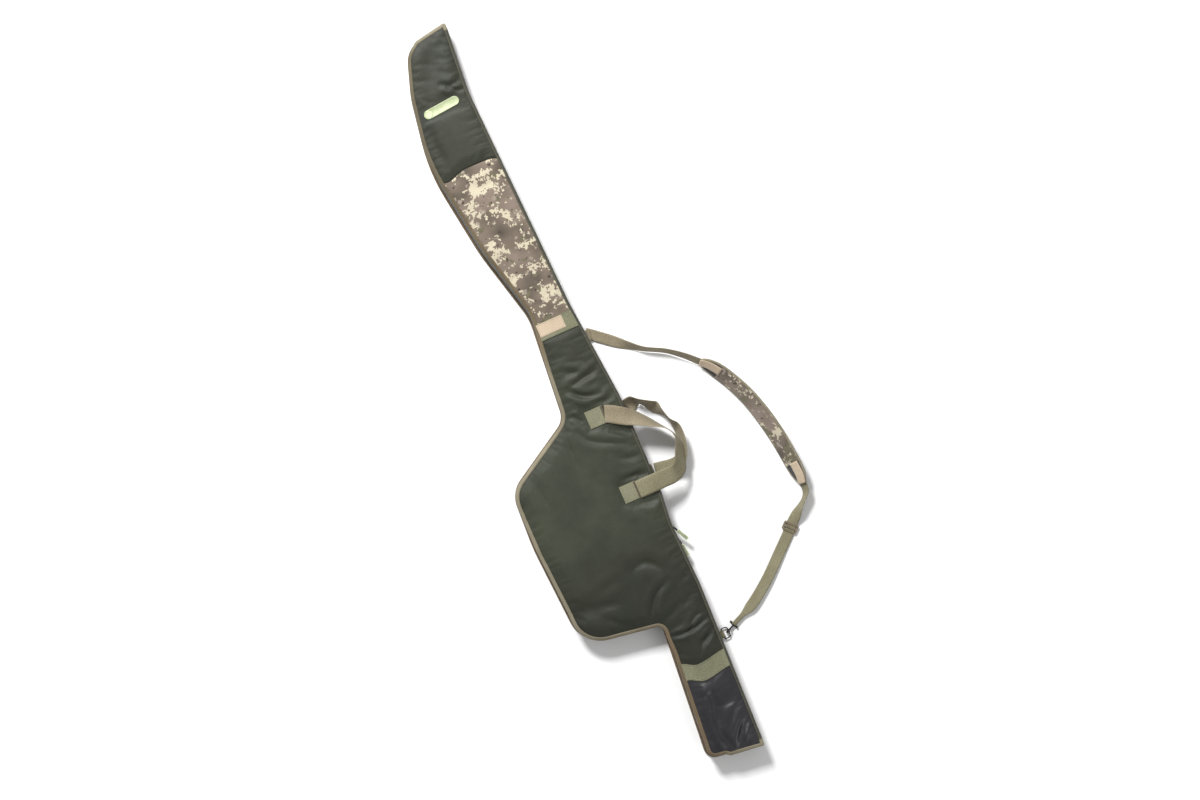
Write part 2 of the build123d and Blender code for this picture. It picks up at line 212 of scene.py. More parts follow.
def thread_height(tree, pitch, stretch=1.0):
    """A plain weave's height: yarns at right angles, one set a little wider than the other."""
    waves = {}
    for number, (direction, width) in enumerate((("X", pitch), ("Y", pitch * stretch))):
        bands = math.tau / 20 / width
        inputs = {"Vector": cloth_place(tree), "Scale": bands, "Distortion": 0.6, "Detail": 1.0}
        waves[number] = node(tree, "TexWave", "Fac", inputs, wave_type="BANDS", bands_direction=direction)
    return node(tree, "Math", "Value", waves, operation="MULTIPLY")


def woven(name, dark, light, roughness=0.75, sheen=0.12, pitch=0.9 * MM, stretch=1.0, depth=0.12 * MM):
    """A woven cloth: two tones in soft blotches, uneven yarns and a slight bloom."""
    material, tree, shader = new_material(name, roughness, sheen, 0.35)
    tone = mottle(tree, dark, light, 9)
    yarns = thread_height(tree, pitch, stretch)
    grain = noise_texture(tree, 0.45 / pitch, 2.0)
    for source, low, high, share in ((yarns, 0.0, 0.6, 0.3), (grain, 0.38, 0.60, 0.5)):
        lines = ramp(tree, source, [(low, (0.5, 0.5, 0.5)), (high, (1, 1, 1))])
        tone = mix(tree, share, tone, lines, blend_type="MULTIPLY")
    paint(tree, shader, tone, yarns, depth)
    return material


def tint_along(material, stops):
    """Multiplies a material's colour by tones that change along the case; stops are (y in metres, tone)."""
    tree = material.node_tree
    shader = tree.nodes["Principled BSDF"]
    tone = shader.inputs["Base Color"].links[0].from_socket
    place = node(tree, "TexCoord", "Object", {})
    along = node(tree, "SeparateXYZ", "Y", {"Vector": place})
    low, high = stops[0][0] - 0.01, stops[-1][0] + 0.01
    share = node(tree, "MapRange", "Result", {"Value": along, "From Min": low, "From Max": high})
    tint = ramp(tree, share, [((at - low) / (high - low), colour) for at, colour in stops])
    paint(tree, shader, mix(tree, 1.0, tone, tint, blend_type="MULTIPLY"))


def blocky_noise(tree, scale, offset, detail=2.0):
    """Noise that is even inside each small square, as a print made of pixels."""
    cell = (3 * MM, 3 * MM, 3 * MM)
    snapped = node(tree, "VectorMath", "Vector", {0: cloth_place(tree), 1: cell}, operation="SNAP")
    moved = node(tree, "Mapping", "Vector", {"Vector": snapped, "Location": offset})
    return noise_texture(tree, scale, detail, 0.7, moved)


def over_level(tree, source, level):
    """1 where a value is over a level, and 0 elsewhere."""
    return node(tree, "Math", "Value", {0: source, 1: level}, operation="GREATER_THAN")


def camouflage(name):
    """A generic pixel camouflage print: taupe, brown, dark specks and cream clusters."""
    material, tree, shader = new_material(name, 0.8, 0.15, 0.3)
    stops = [(0.34, (0.078, 0.062, 0.046)), (0.50, (0.170, 0.134, 0.103)), (0.66, (0.235, 0.185, 0.150))]
    colour = ramp(tree, blocky_noise(tree, 7, (0, 0, 0)), stops)
    for tone, scale, offset, level, detail in (
        ((0.130, 0.115, 0.072), 15, (3.1, 1.7, 0.4), 0.585, 2.0),
        ((0.270, 0.222, 0.178), 52, (8.3, 4.9, 0.4), 0.640, 1.0),
        ((0.050, 0.040, 0.030), 70, (5.3, 2.9, 1.4), 0.690, 1.0),
    ):
        colour = mix(tree, over_level(tree, blocky_noise(tree, scale, offset, detail), level), colour, tone)
    clusters = blocky_noise(tree, 15, (1.9, 7.7, 2.2), 1.5)
    crumbs = blocky_noise(tree, 85, (4.4, 0.3, 6.6))
    together = node(tree, "Math", "Value", {0: crumbs, 1: 0.75, 2: clusters}, operation="MULTIPLY_ADD")
    colour = mix(tree, over_level(tree, together, 0.955), colour, (0.50, 0.45, 0.33))
    paint(tree, shader, colour, thread_height(tree, 0.9 * MM), 0.1 * MM)
    return material


def coated(name, dark, light):
    """Smooth coated cloth with a satin gloss, soft scuffs and a fine grain."""
    material, tree, shader = new_material(name, 0.42)
    scuffs = noise_texture(tree, 16.0, 5.0)
    gloss = node(tree, "MapRange", "Result", {"Value": scuffs, "To Min": 0.30, "To Max": 0.55})
    tree.links.new(gloss, shader.inputs["Roughness"])
    paint(tree, shader, mottle(tree, dark, light, 5), noise_texture(tree, 320.0, 4.0), 0.15 * MM)
    return material


def moulded(name, dark, light, roughness, metallic=0.0):
    """Moulded plastic, rubber or enamel with a fine uneven surface; it needs no cloth map."""
    material, tree, shader = new_material(name, roughness, metallic=metallic)
    place = node(tree, "TexCoord", "Object", {})
    colour = ramp(tree, noise_texture(tree, 120.0, 3.0, place=place), [(0.35, dark), (0.65, light)])
    paint(tree, shader, colour, noise_texture(tree, 900.0, 3.0, place=place), 0.05 * MM)
    return material


# ---------------------------------------------------------------- outlines read from the frame
def outer_loop(node_name):
    """The outer edge of a flat CAD piece's top, as ordered points round the case, at 1 mm steps."""
    mesh = frame["nodes"][node_name].data
    top = max(v.co.z for v in mesh.vertices)
    uses = {}
    for face in mesh.polygons:
        corners = [mesh.vertices[i].co for i in face.vertices]
        if min(c.z for c in corners) >= top - 1e-5:
            keys = [(round(c.x, 6), round(c.y, 6)) for c in corners]
            for pair in zip(keys, keys[1:] + keys[:1]):
                uses[frozenset(pair)] = uses.get(frozenset(pair), 0) + 1
    beside = {}
    for edge, count in uses.items():
        if count == 1 and len(edge) == 2:
            a, b = edge
            beside.setdefault(a, []).append(b)
            beside.setdefault(b, []).append(a)
    start = max(beside, key=lambda p: p[1])
    loop = [start, beside[start][0]]
    while loop[-1] != start:
        loop.append(next(p for p in beside[loop[-1]] if p != loop[-2]))
    if sum(a[0] * b[1] - b[0] * a[1] for a, b in zip(loop, loop[1:])) < 0:
        loop.reverse()
    return even_steps(np.array(loop[:-1]), 1 * MM)


def run_lengths(points):
    """The length along a line of points to each of them."""
    return np.concatenate([[0], np.cumsum(np.linalg.norm(np.diff(points, axis=0), axis=1))])


def at_lengths(at, lengths, points):
    """The points at given lengths along a line."""
    return np.column_stack([np.interp(at, lengths, column) for column in points.T])


def even_steps(points, step):
    """A closed loop of points at even steps along the same line."""
    closed = np.vstack([points, points[:1]])
    lengths = run_lengths(closed)
    count = max(8, round(lengths[-1] / step))
    return at_lengths(np.linspace(0, lengths[-1], count, endpoint=False), lengths, closed)


def unit(rows):
    """Each row at length 1."""
    return rows / np.linalg.norm(rows, axis=1)[:, None]


def inward(loop, spread):
    """The way into the case at each point, smoothed over a stretch of the loop."""
    along = unit(np.roll(loop, -1, axis=0) - np.roll(loop, 1, axis=0))
    side = np.column_stack([-along[:, 1], along[:, 0]])
    reach = max(1, round(spread / np.linalg.norm(loop[1] - loop[0])))
    kernel = np.hanning(2 * reach + 3)[1:-1]
    wrapped = np.vstack([side[-reach:], side, side[:reach]])
    return unit(np.column_stack([np.convolve(column, kernel, "valid") for column in wrapped.T]))


def smoothstep(value, low, high):
    """0 below low, 1 above high, and smooth between; works on arrays."""
    t = np.clip((np.asarray(value, float) - low) / (high - low), 0, 1)
    return t * t * (3 - 2 * t)


def search_tree(loop):
    """A search tree over a loop's points in plan."""
    tree = KDTree(len(loop))
    for index, (x, y) in enumerate(loop):
        tree.insert((x, y, 0), index)
    tree.balance()
    return tree


def front_outline():
    """The front seam's line: a little inside the back seam's on the pocket side, where that one peeks out."""
    x, y = OUTER.T
    peek = 3 * MM + 8 * MM * smoothstep(y, 0.08, 0.30) * (1 - smoothstep(y, 0.55, 0.80))
    peek = peek + 4 * MM * smoothstep(-y, 0.20, 0.32) * (1 - smoothstep(-y, 0.50, 0.60))
    peek = peek + 4 * MM * smoothstep(-y, 0.66, 0.72)
    return OUTER + inward(OUTER, 14 * MM) * (smoothstep(-x, 0.09, 0.105) * peek)[:, None]


OUTER = outer_loop("back_binding")
FRONT = front_outline()
front_tree = search_tree(FRONT)


def front_depth(spots):
    """How far in from the front seam's line each point is."""
    return np.array([front_tree.find((x, y, 0))[2] for x, y in spots])


# ---------------------------------------------------------------- mesh helpers
def link_mesh(name, points, faces, material, places=None, smooth=True, outward=False):
    """A mesh object; places are each point's spot on its own cloth, or its plan position without them."""
    mesh = bpy.data.meshes.new(name)
    mesh.from_pydata([tuple(map(float, point)) for point in points], [], faces)
    mesh.materials.append(material)
    mesh.polygons.foreach_set("use_smooth", [smooth] * len(mesh.polygons))
    places = [point[:2] for point in points] if places is None else places
    corners = np.empty(len(mesh.loops), np.int32)
    mesh.loops.foreach_get("vertex_index", corners)
    layer = mesh.uv_layers.new(name="cloth")
    layer.data.foreach_set("uv", np.array(places, np.float32)[corners].ravel())
    if outward:
        shape = bmesh.new()
        shape.from_mesh(mesh)
        bmesh.ops.recalc_face_normals(shape, faces=shape.faces)
        shape.to_mesh(mesh)
        shape.free()
    return link_object(name, mesh)


def points_of(mesh):
    """A mesh's points as rows of x, y and z."""
    return np.array([tuple(vertex.co) for vertex in mesh.vertices])


def place_points(mesh, points):
    """Moves a mesh's points."""
    mesh.vertices.foreach_set("co", points.astype(np.float32).ravel())
    mesh.update()


def face_up(mesh):
    """Turns every face of a lying sheet upwards."""
    for face in mesh.polygons:
        if face.normal.z < 0:
            face.flip()


def apply_modifier(piece, kind, **settings):
    """Adds a modifier to a piece and makes it part of its mesh."""
    modifier = piece.modifiers.new(kind.lower(), kind)
    for key, value in settings.items():
        setattr(modifier, key, value)
    bpy.context.view_layer.update()
    shaped = piece.evaluated_get(bpy.context.evaluated_depsgraph_get())
    mesh = bpy.data.meshes.new_from_object(shaped)
    piece.modifiers.clear()
    piece.data = mesh


def thicken(piece, thickness, side=-1):
    """Gives a single surface its thickness: under it at -1, over it at 1, or half each way at 0."""
    apply_modifier(piece, "SOLIDIFY", thickness=thickness, offset=side)


def grid_faces(rows, columns, wrap_rows=False, wrap_columns=False):
    """Quads between the points of a grid that is listed row by row."""
    faces = []
    for row in range(rows if wrap_rows else rows - 1):
        for column in range(columns if wrap_columns else columns - 1):
            here, right = row * columns, (column + 1) % columns
            above = (row + 1) % rows * columns
            faces.append((here + column, here + right, above + right, above + column))
    return faces


def tube_faces(rings, sides, first=0):
    """Faces of a closed tube over rings of points, capped at both ends; first is its first point's number."""
    faces = grid_faces(rings, sides, wrap_columns=True)
    faces += [tuple(range(sides))[::-1], tuple((rings - 1) * sides + k for k in range(sides))]
    return [tuple(first + corner for corner in face) for face in faces]


def smooth_line(stations, step):
    """Even points along a smooth curve through the stations, each with all the values that a station has."""
    stations = np.array(stations, float)
    ends = np.vstack([2 * stations[:1] - stations[1:2], stations, 2 * stations[-1:] - stations[-2:-1]])
    fine = []
    for a, b, c, d in zip(ends, ends[1:], ends[2:], ends[3:]):
        for t in np.linspace(0, 1, 24, endpoint=False):
            bend = 2 * b + (c - a) * t + (2 * a - 5 * b + 4 * c - d) * t**2 + (3 * b - 3 * c + d - a) * t**3
            fine.append(bend / 2)
    fine = np.array(fine + [stations[-1]])
    lengths = run_lengths(fine[:, :3])
    at = np.linspace(0, lengths[-1], max(3, round(lengths[-1] / step) + 1))
    return at_lengths(at, lengths, fine), at


def skin(name, rings, places, material):
    """A closed tube over rings of points, with both ends capped."""
    points = [point for ring in rings for point in ring]
    return link_mesh(name, points, tube_faces(len(rings), len(rings[0])), material, places, outward=True)


def line_frame(stations):
    """Points along stations, the lengths to them, and the leaning width and thickness directions at each."""
    line, lengths = smooth_line(stations, 4 * MM)
    along = unit(np.gradient(line[:, :3], axis=0))
    left = unit(np.cross((0, 0, 1.0), along))
    over = np.cross(along, left)
    lean = np.radians(line[:, 3])[:, None]
    wide = left * np.cos(lean) + over * np.sin(lean)
    thick = over * np.cos(lean) - left * np.sin(lean)
    return line[:, :3], lengths, wide, thick


def section(count):
    """Round a flat strip's section: each point's side, over or under, share across, and if it is an edge."""
    shares = np.linspace(-1, 1, count)
    return [(side, share, abs(share) > 0.999) for side in (1, -1) for share in shares[::side]]


def ribbon(name, stations, width, thickness, material, folded_end=0.0):
    """A strip of webbing through stations of x, y, z and lean, its tilt about its own line in degrees.

    Over the length folded_end, its last end narrows as it is folded over.
    """
    frames = line_frame(stations)
    total = frames[1][-1]
    rings, places = [], []
    for spot, length, across, over in zip(*frames):
        fold = 0.0
        if folded_end:
            fold = 0.58 * float(smoothstep(length, total - folded_end, total - 0.4 * folded_end))
        ring = []
        for side, share, edge in section(10):
            rise = side * thickness / 2 * (0.45 if edge else 1.0) * (1 + 1.4 * fold)
            ring.append(spot + across * share * (1 - fold) * width / 2 + over * rise)
            places.append((length, share * width / 2))
        rings.append(ring)
    return skin(name, rings, places, material)


def stitches(name, runs, material, pitch=4.2 * MM, length=3.0 * MM, width=0.75 * MM):
    """Raised stitches along runs of points that lie on the cloth; every stitch is a small tapered bead."""
    points, faces, places = [], [], []
    beads = ((-1, 0.35), (-0.6, 0.95), (0.6, 0.95), (1, 0.35))
    turns = [math.tau * corner / 5 for corner in range(5)]
    for run in runs:
        line = smooth_line([(*point, 0) for point in run], pitch)[0][:, :3]
        for a, b in zip(line, line[1:]):
            along = (b - a) / (np.linalg.norm(b - a) + 1e-12)
            side = np.cross(along, (0, 0, 1.0))
            side /= np.linalg.norm(side) + 1e-12
            over = np.cross(side, along)
            faces += tube_faces(len(beads), len(turns), len(points))
            for share, thick in beads:
                for turn in turns:
                    round_off = (side * math.cos(turn) + over * 0.6 * math.sin(turn)) * width / 2 * thick
                    points.append((a + b) / 2 + along * share * length / 2 + round_off)
                    places.append((share, turn))
    return link_mesh(name, points, faces, material, places)


def hinge_cloth(piece):
    """Cloth that lifts with the opened panel beside the zip, and stays down at the panel's two ends."""
    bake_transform(piece, "case", "lid", start=(FOLD_X, 0, FRONT_Z), end=(-40 * MM, 0, FRONT_Z))
    weights = np.empty(len(piece.data.vertices), np.float32)
    share = piece.data.attributes["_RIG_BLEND"].data
    share.foreach_get("value", weights)
    y = points_of(piece.data)[:, 1]
    weights = weights * smoothstep(-y, -FLAP_HIGH_Y, -FLAP_HIGH_Y + 0.25)
    weights = weights * smoothstep(y, FLAP_LOW_Y, FLAP_LOW_Y + 0.20)
    share.foreach_set("value", weights.astype(np.float32))


HINGED = "hinged cloth"


def hand_over(piece, body, slot, *nodes):
    """Ties a piece to its body, or to the case and the lid if it is hinged cloth; it replaces the nodes."""
    if body == HINGED:
        hinge_cloth(piece)
    else:
        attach(piece, body)
    if nodes:
        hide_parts(*nodes)
    return piece


# ---------------------------------------------------------------- materials of the pieces
OLIVE = woven("olive_cloth", (0.029, 0.033, 0.020), (0.046, 0.051, 0.031), 0.52, 0.06)
# Painted light and shade: the olive cloth is made lighter over the reel pocket and darker towards the butt
# and the tip, standing in for how the light falls along the case.
tint_along(OLIVE, (
    (-0.56, (0.50, 0.50, 0.48)), (-0.46, (0.72, 0.72, 0.70)), (-0.32, (1.12, 1.12, 1.10)),
    (-0.12, (1.08, 1.08, 1.06)), (0.08, (0.82, 0.82, 0.80)), (0.90, (0.70, 0.70, 0.67)),
))
CAMO = camouflage("camouflage_cloth")
BLACK = coated("coated_cloth", (0.009, 0.009, 0.011), (0.024, 0.024, 0.027))
BINDING = woven("binding_tape", (0.235, 0.205, 0.14), (0.33, 0.295, 0.205), 0.8, 0.1, 0.7 * MM)
tint_along(BINDING, (
    (-1.010, (1.0, 1.0, 1.0)), (-0.995, (0.62, 0.50, 0.40)), (-0.655, (0.58, 0.46, 0.36)),
    (-0.600, (1.0, 1.0, 1.0)), (0.060, (0.95, 0.95, 0.92)), (0.160, (0.60, 0.52, 0.42)),
    (0.560, (0.52, 0.44, 0.36)), (0.680, (0.46, 0.44, 0.38)), (0.985, (0.50, 0.48, 0.42)),
    (1.010, (1.0, 1.0, 1.0)),
))
SPINE_BINDING = woven("spine_binding_tape", (0.045, 0.047, 0.032), (0.075, 0.075, 0.054), 0.7, 0.06, 0.7 * MM)
BROWN_BINDING = woven("brown_binding_tape", (0.125, 0.085, 0.045), (0.19, 0.135, 0.080), 0.8, 0.1, 0.7 * MM)
COARSE = (0.75, 0.12, 1.5 * MM, 1.6, 0.25 * MM)
WEBBING = woven("webbing", (0.25, 0.205, 0.13), (0.35, 0.30, 0.20), *COARSE)
tint_along(WEBBING, (
    (-0.90, (0.80, 0.87, 0.80)), (-0.27, (0.80, 0.87, 0.80)),
    (-0.20, (1.0, 1.0, 1.0)), (0.20, (1.0, 1.0, 1.0)),
))
GREEN_WEBBING = woven("green_webbing", (0.185, 0.185, 0.112), (0.27, 0.265, 0.17), *COARSE)
TAB = woven("beige_tab", (0.56, 0.44, 0.31), (0.68, 0.55, 0.40), 0.7, 0.1, 0.8 * MM)
LINING = woven("lining_cloth", (0.028, 0.030, 0.028), (0.042, 0.045, 0.042), 0.6, 0.05, 0.5 * MM)
FOAM = woven("foam", (0.055, 0.055, 0.058), (0.085, 0.085, 0.09), 0.95, 0.0, 1.3 * MM)
ELASTIC = woven("elastic", (0.022, 0.022, 0.024), (0.040, 0.040, 0.042), 0.85, 0.05, 1.0 * MM, 2.0, 0.3 * MM)
ZIP_CLOTH = woven("zip_cloth", (0.028, 0.030, 0.024), (0.045, 0.047, 0.038), 0.8, 0.05, 0.6 * MM)
THREAD = woven("thread", (0.060, 0.065, 0.045), (0.10, 0.10, 0.075), 0.6, 0.1, 0.3 * MM)
TAN_THREAD = woven("tan_thread", (0.24, 0.19, 0.13), (0.34, 0.28, 0.20), 0.6, 0.1, 0.3 * MM)
BROWN_THREAD = woven("brown_thread", (0.060, 0.028, 0.018), (0.10, 0.05, 0.03), 0.6, 0.1, 0.3 * MM)
TEETH = moulded("zip_teeth", (0.020, 0.020, 0.020), (0.035, 0.035, 0.033), 0.35)
DARK_METAL = moulded("dark_metal", (0.018, 0.017, 0.016), (0.034, 0.031, 0.030), 0.38, 0.5)
RING_METAL = moulded("ring_metal", (0.018, 0.015, 0.013), (0.034, 0.028, 0.025), 0.42, 0.5)
GRIP_RUBBER = moulded("grip_rubber", (0.24, 0.26, 0.17), (0.31, 0.33, 0.22), 0.6)
GRIP_EDGE = moulded("grip_edge", (0.52, 0.62, 0.34), (0.62, 0.72, 0.44), 0.55)
BADGE_RUBBER = moulded("badge_rubber", (0.38, 0.43, 0.24), (0.46, 0.52, 0.31), 0.55)
BUCKLE = moulded("buckle_plastic", (0.13, 0.105, 0.065), (0.18, 0.145, 0.095), 0.5)


# ---------------------------------------------------------------- front cloth
RIM_INSET = 4.5 * MM
CLOTH_STEP = 7 * MM
CLOTH = 1.2 * MM
SEAMS = (HOOD_Y, WAIST_Y, BUTT_Y)
PATCHES = ((-57 * MM, -71 * MM), (-53 * MM, -284 * MM))
BADGE = Vector([sum(pair) / 2 for pair in zip(*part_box("badge_plate"))])

# Folds in the cloth, in millimetres: the points of each valley, its depth and its half width. A ridge's depth
# is below zero.
FOLDS = (
    (((-88, 70), (-66, 58), (-48, 50)), 2.2, 9),
    (((-82, 28), (-60, 33), (-30, 38), (-8, 42)), 3.6, 8),
    (((-97, 22), (-75, 0), (-54, -12), (-25, -18)), 3.8, 8),
    (((-50, -34), (-20, -40), (12, -32)), 2.4, 8),
    (((-135, -52), (-116, -46), (-102, -58), (-92, -74)), 2.4, 7),
    (((-42, -112), (-12, -128), (18, -150)), 5.0, 14),
    (((-118, -90), (-98, -118), (-66, -138), (-30, -155), (10, -176)), 3.0, 9),
    (((-150, -84), (-152, -130), (-150, -200)), 2.6, 10),
    (((-122, -185), (-124, -215), (-128, -250)), 1.8, 9),
    (((-268, -165), (-266, -200), (-262, -245)), 1.8, 14),
    (((-62, -246), (-30, -250), (0, -253), (18, -258)), 3.4, 9),
    (((-45, -190), (-15, -203), (15, -205)), 2.0, 9),
    (((-50, -318), (-15, -326), (14, -318)), 4.2, 12),
    (((-75, -305), (-60, -332), (-30, -350)), 1.8, 12),
    (((-240, -492), (-210, -486), (-178, -480)), 2.2, 12),
    (((-135, -472), (-100, -464), (-78, -476), (-60, -502)), 3.8, 16),
    (((-138, -612), (-120, -578), (-95, -549), (-58, -530)), 4.0, 9),
    (((-318, -512), (-262, -522), (-190, -536)), 3.2, 24),
    (((-262, -548), (-225, -575), (-200, -598)), 2.0, 12),
    (((-108, -671), (-75, -674), (-44, -672), (8, -657)), 3.4, 6),
    (((-56, -672), (-42, -654), (-24, -641)), 2.4, 6),
    (((-52, -708), (-25, -704), (2, -690)), 2.6, 6),
    (((-58, -726), (-42, -714), (-14, -704)), 2.2, 6),
    (((-50, 1000), (-80, 930), (-105, 868)), 3.0, 26),
    (((-76, 878), (-50, 868), (-14, 876)), 2.2, 7),
    (((-62, 862), (-38, 849), (-16, 846)), 2.4, 6),
    (((-150, 780), (-153, 730), (-150, 680)), 1.6, 12),
    (((-120, 610), (-84, 590), (-40, 600)), 1.8, 12),
    (((-140, 470), (-100, 452), (-60, 462)), 1.4, 14),
    (((-150, 330), (-100, 350), (-40, 338)), 1.3, 14),
    (((-62, -1006), (-48, -978), (-24, -950), (-8, -942)), 3.6, 7),
    (((-80, -806), (-92, -860), (-104, -900), (-107, -1000)), -2.6, 9),
    (((-66, -935), (-40, -905), (-10, -885)), -2.4, 13),
    (((-92, -950), (-84, -975), (-72, -1002)), 2.0, 8),
    (((-70, -850), (-76, -890), (-84, -925)), 1.8, 12),
)


def fold_depth(x, y):
    """How far the folds lower the cloth at each point, and the low ridges beside them raise it."""
    spots = np.column_stack([x, y])
    total = np.zeros(len(spots))
    for points, depth, half_width in FOLDS:
        line, at = smooth_line([(px * MM, py * MM, 0) for px, py in points], 4 * MM)
        gaps = np.linalg.norm(spots[:, None, :] - line[None, :, :2], axis=2)
        nearest = gaps.argmin(axis=1)
        distance = gaps.min(axis=1) / (half_width * MM)
        fade = 0.35 + 0.65 * np.sin(np.pi * at[nearest] / at[-1])
        total += 1.8 * depth * MM * fade * (np.exp(-(distance**2)) - 0.42 * np.exp(-((distance - 1.9) ** 2)))
    return total


def noise_at(x, y, across, along, seed):
    """Even noise at each point, with its own scale each way."""
    return np.array([noise.noise((px * across, py * along, seed)) for px, py in zip(x, y)])


def front_crown(x, y):
    """The padded front's height before its folds: rounded off at the seam, fuller over the reel pocket."""
    belly = smoothstep(-y, -0.10, 0.12) * (1 - smoothstep(-y, 0.62, 0.80))
    waves = 1.5 * noise_at(x, y, 8, 6, 0.3) + 0.7 * noise_at(x, y, 24, 19, 4.3)
    soft = 1 - np.exp(-front_depth(zip(x, y)) / (26 * MM))
    return FRONT_Z + soft * (6 + 3 * belly + waves) * MM


def seam_shift(x, y):
    """How far the sewn seams wander along Y: the head's dips at the pocket side, the butt's has a kink."""
    head = (16 * smoothstep(x, -0.168, -0.105) - 6) * np.exp(-(((y - HOOD_Y) / 0.045) ** 2))
    kink = -18 * smoothstep(x, -0.118, -0.074) + 10 * smoothstep(x, -0.070, 0.004)
    return (head + kink * np.exp(-(((y - BUTT_Y) / 0.060) ** 4))) * MM


def calm(x, y):
    """1 in the open cloth, and 0 where a patch, band or the badge is sewn down."""
    free = np.ones(len(x))
    for seam in (WAIST_Y, BUTT_Y):
        free *= smoothstep(np.abs(y - seam), 20 * MM, 36 * MM)
    sewn = [(px, py, 24 * MM, 24 * MM, 16 * MM) for px, py in PATCHES]
    for px, py, half_x, half_y, reach in sewn + [(BADGE.x, BADGE.y, 52 * MM, 14 * MM, 14 * MM)]:
        away = np.maximum(np.abs(x - px) - half_x, np.abs(y - py) - half_y)
        free *= smoothstep(away, 0, reach)
    return free


def filled_plan(loop, step, rows=()):
    """Triangles that fill a loop, with an edge line along each row across it."""
    loop = even_steps(loop, step)
    low, high = loop.min(axis=0), loop.max(axis=0)
    tree = search_tree(loop)
    ways = inward(loop, 10 * MM)

    def inside(x, y, margin):
        spot, index, gap = tree.find((x, y, 0))
        return gap > margin and (x - spot.x) * ways[index][0] + (y - spot.y) * ways[index][1] > 0

    spots = [tuple(point) for point in loop]
    edges = []
    for row in rows:
        across = [x for x in np.arange(low[0], high[0], step) if inside(x, row, 0.45 * step)]
        edges += [(len(spots) + k, len(spots) + k + 1) for k in range(len(across) - 1)]
        spots += [(x, row) for x in across]
    for band, y in enumerate(np.arange(low[1], high[1], step * 0.866)):
        if all(abs(y - row) >= 0.6 * step for row in rows):
            across = np.arange(low[0] + (band % 2) * step / 2, high[0], step)
            spots += [(x, y) for x in across if inside(x, y, 0.6 * step)]
    face = [list(range(len(loop)))]
    filled = geometry.delaunay_2d_cdt([Vector(spot) for spot in spots], edges, face, 1, 1e-7)
    return np.array([tuple(point) for point in filled[0]]), [tuple(f) for f in filled[2]]


def simulate_cloth(piece, pinned, pressure, most):
    """Blows the cloth up a little from inside with its sewn edges held, and caps how far a point moves."""
    rest = points_of(piece.data)
    group = piece.vertex_groups.new(name="sewn")
    for index, weight in enumerate(pinned):
        if weight > 0:
            group.add([index], float(weight), "REPLACE")
    cloth = piece.modifiers.new("cloth", "CLOTH").settings
    cloth.quality = 6
    cloth.mass = 0.25
    cloth.tension_stiffness = cloth.compression_stiffness = 12
    cloth.shear_stiffness = 6
    cloth.bending_stiffness = 0.6
    cloth.vertex_group_mass = "sewn"
    cloth.shrink_min = -0.008
    cloth.use_pressure = True
    cloth.uniform_pressure_force = pressure
    cloth.effector_weights.gravity = 0
    scene = bpy.context.scene
    for number in range(1, 22):
        scene.frame_set(number)
    shaped = piece.evaluated_get(bpy.context.evaluated_depsgraph_get())
    moved = points_of(shaped.data) - rest
    piece.modifiers.clear()
    scene.frame_set(1)
    size = np.linalg.norm(moved, axis=1)[:, None] + 1e-12
    place_points(piece.data, rest + moved / size * most * np.tanh(size / most))


def make_front_surface():
    """The front's outer surface: sewn at its rim and seams, blown up from inside, then creased."""
    rim = FRONT + inward(FRONT, 14 * MM) * RIM_INSET
    spots, faces = filled_plan(rim, CLOTH_STEP, SEAMS)
    x, y = spots.T
    surface = link_mesh("front_surface", np.column_stack([spots, front_crown(x, y)]), faces, OLIVE)
    for material in (CAMO, BLACK, OLIVE):
        surface.data.materials.append(material)
    for face in surface.data.polygons:
        face.material_index = sum(face.center.y < seam for seam in SEAMS)
    face_up(surface.data)
    pinned = 1 - smoothstep(front_depth(spots), RIM_INSET + 1 * MM, RIM_INSET + 7 * MM)
    for seam in SEAMS:
        pinned = np.maximum(pinned, 1 - smoothstep(np.abs(y - seam), 3 * MM, 14 * MM))
    simulate_cloth(surface, np.maximum(pinned, 1 - calm(x, y)), 4.0, 4 * MM)
    apply_modifier(surface, "SUBSURF", levels=1, render_levels=1)
    at = points_of(surface.data)
    x, y = at[:, 0], at[:, 1]
    soft = 1 - np.exp(-np.maximum(front_depth(at[:, :2]) - RIM_INSET, 0) / (14 * MM))
    at[:, 2] -= fold_depth(x, y) * soft * (0.15 + 0.85 * calm(x, y))
    at[:, 2] -= 1.6 * MM * np.exp(-(((y - HOOD_Y) / (4 * MM)) ** 2)) * soft
    at[:, 1] += seam_shift(x, y) * soft
    for px, py in PATCHES:
        reach = np.hypot(np.maximum(np.abs(x - px) - 20 * MM, 0), np.maximum(np.abs(y - py) - 20 * MM, 0))
        at[:, 2] -= 2.6 * MM * np.exp(-((reach / (16 * MM)) ** 2))
    at[:, 2] = np.maximum(at[:, 2], FRONT_Z - 1 * MM)
    at[:, 2] -= 0.65 * np.maximum(at[:, 2] - 66 * MM, 0)
    place_points(surface.data, at)
    return surface


front_surface = make_front_surface()
front_bvh = BVHTree.FromObject(front_surface, bpy.context.evaluated_depsgraph_get())


def front_z(x, y, spread=0.0):
    """The front's height at a point, or the highest within a spread of it; the rim's beyond its edge."""
    ways = ((0, 0), (spread, 0), (-spread, 0), (0, spread), (0, -spread)) if spread else ((0, 0),)
    heights = [front_bvh.ray_cast((x + dx, y + dy, 1), (0, 0, -1))[0] for dx, dy in ways]
    return max([hit.z for hit in heights if hit] or [FRONT_Z])


def on_front(spots, lift):
    """Points over plan spots, lifted over the cloth."""
    return [(x, y, front_z(x, y, 3 * MM) + lift) for x, y in spots]


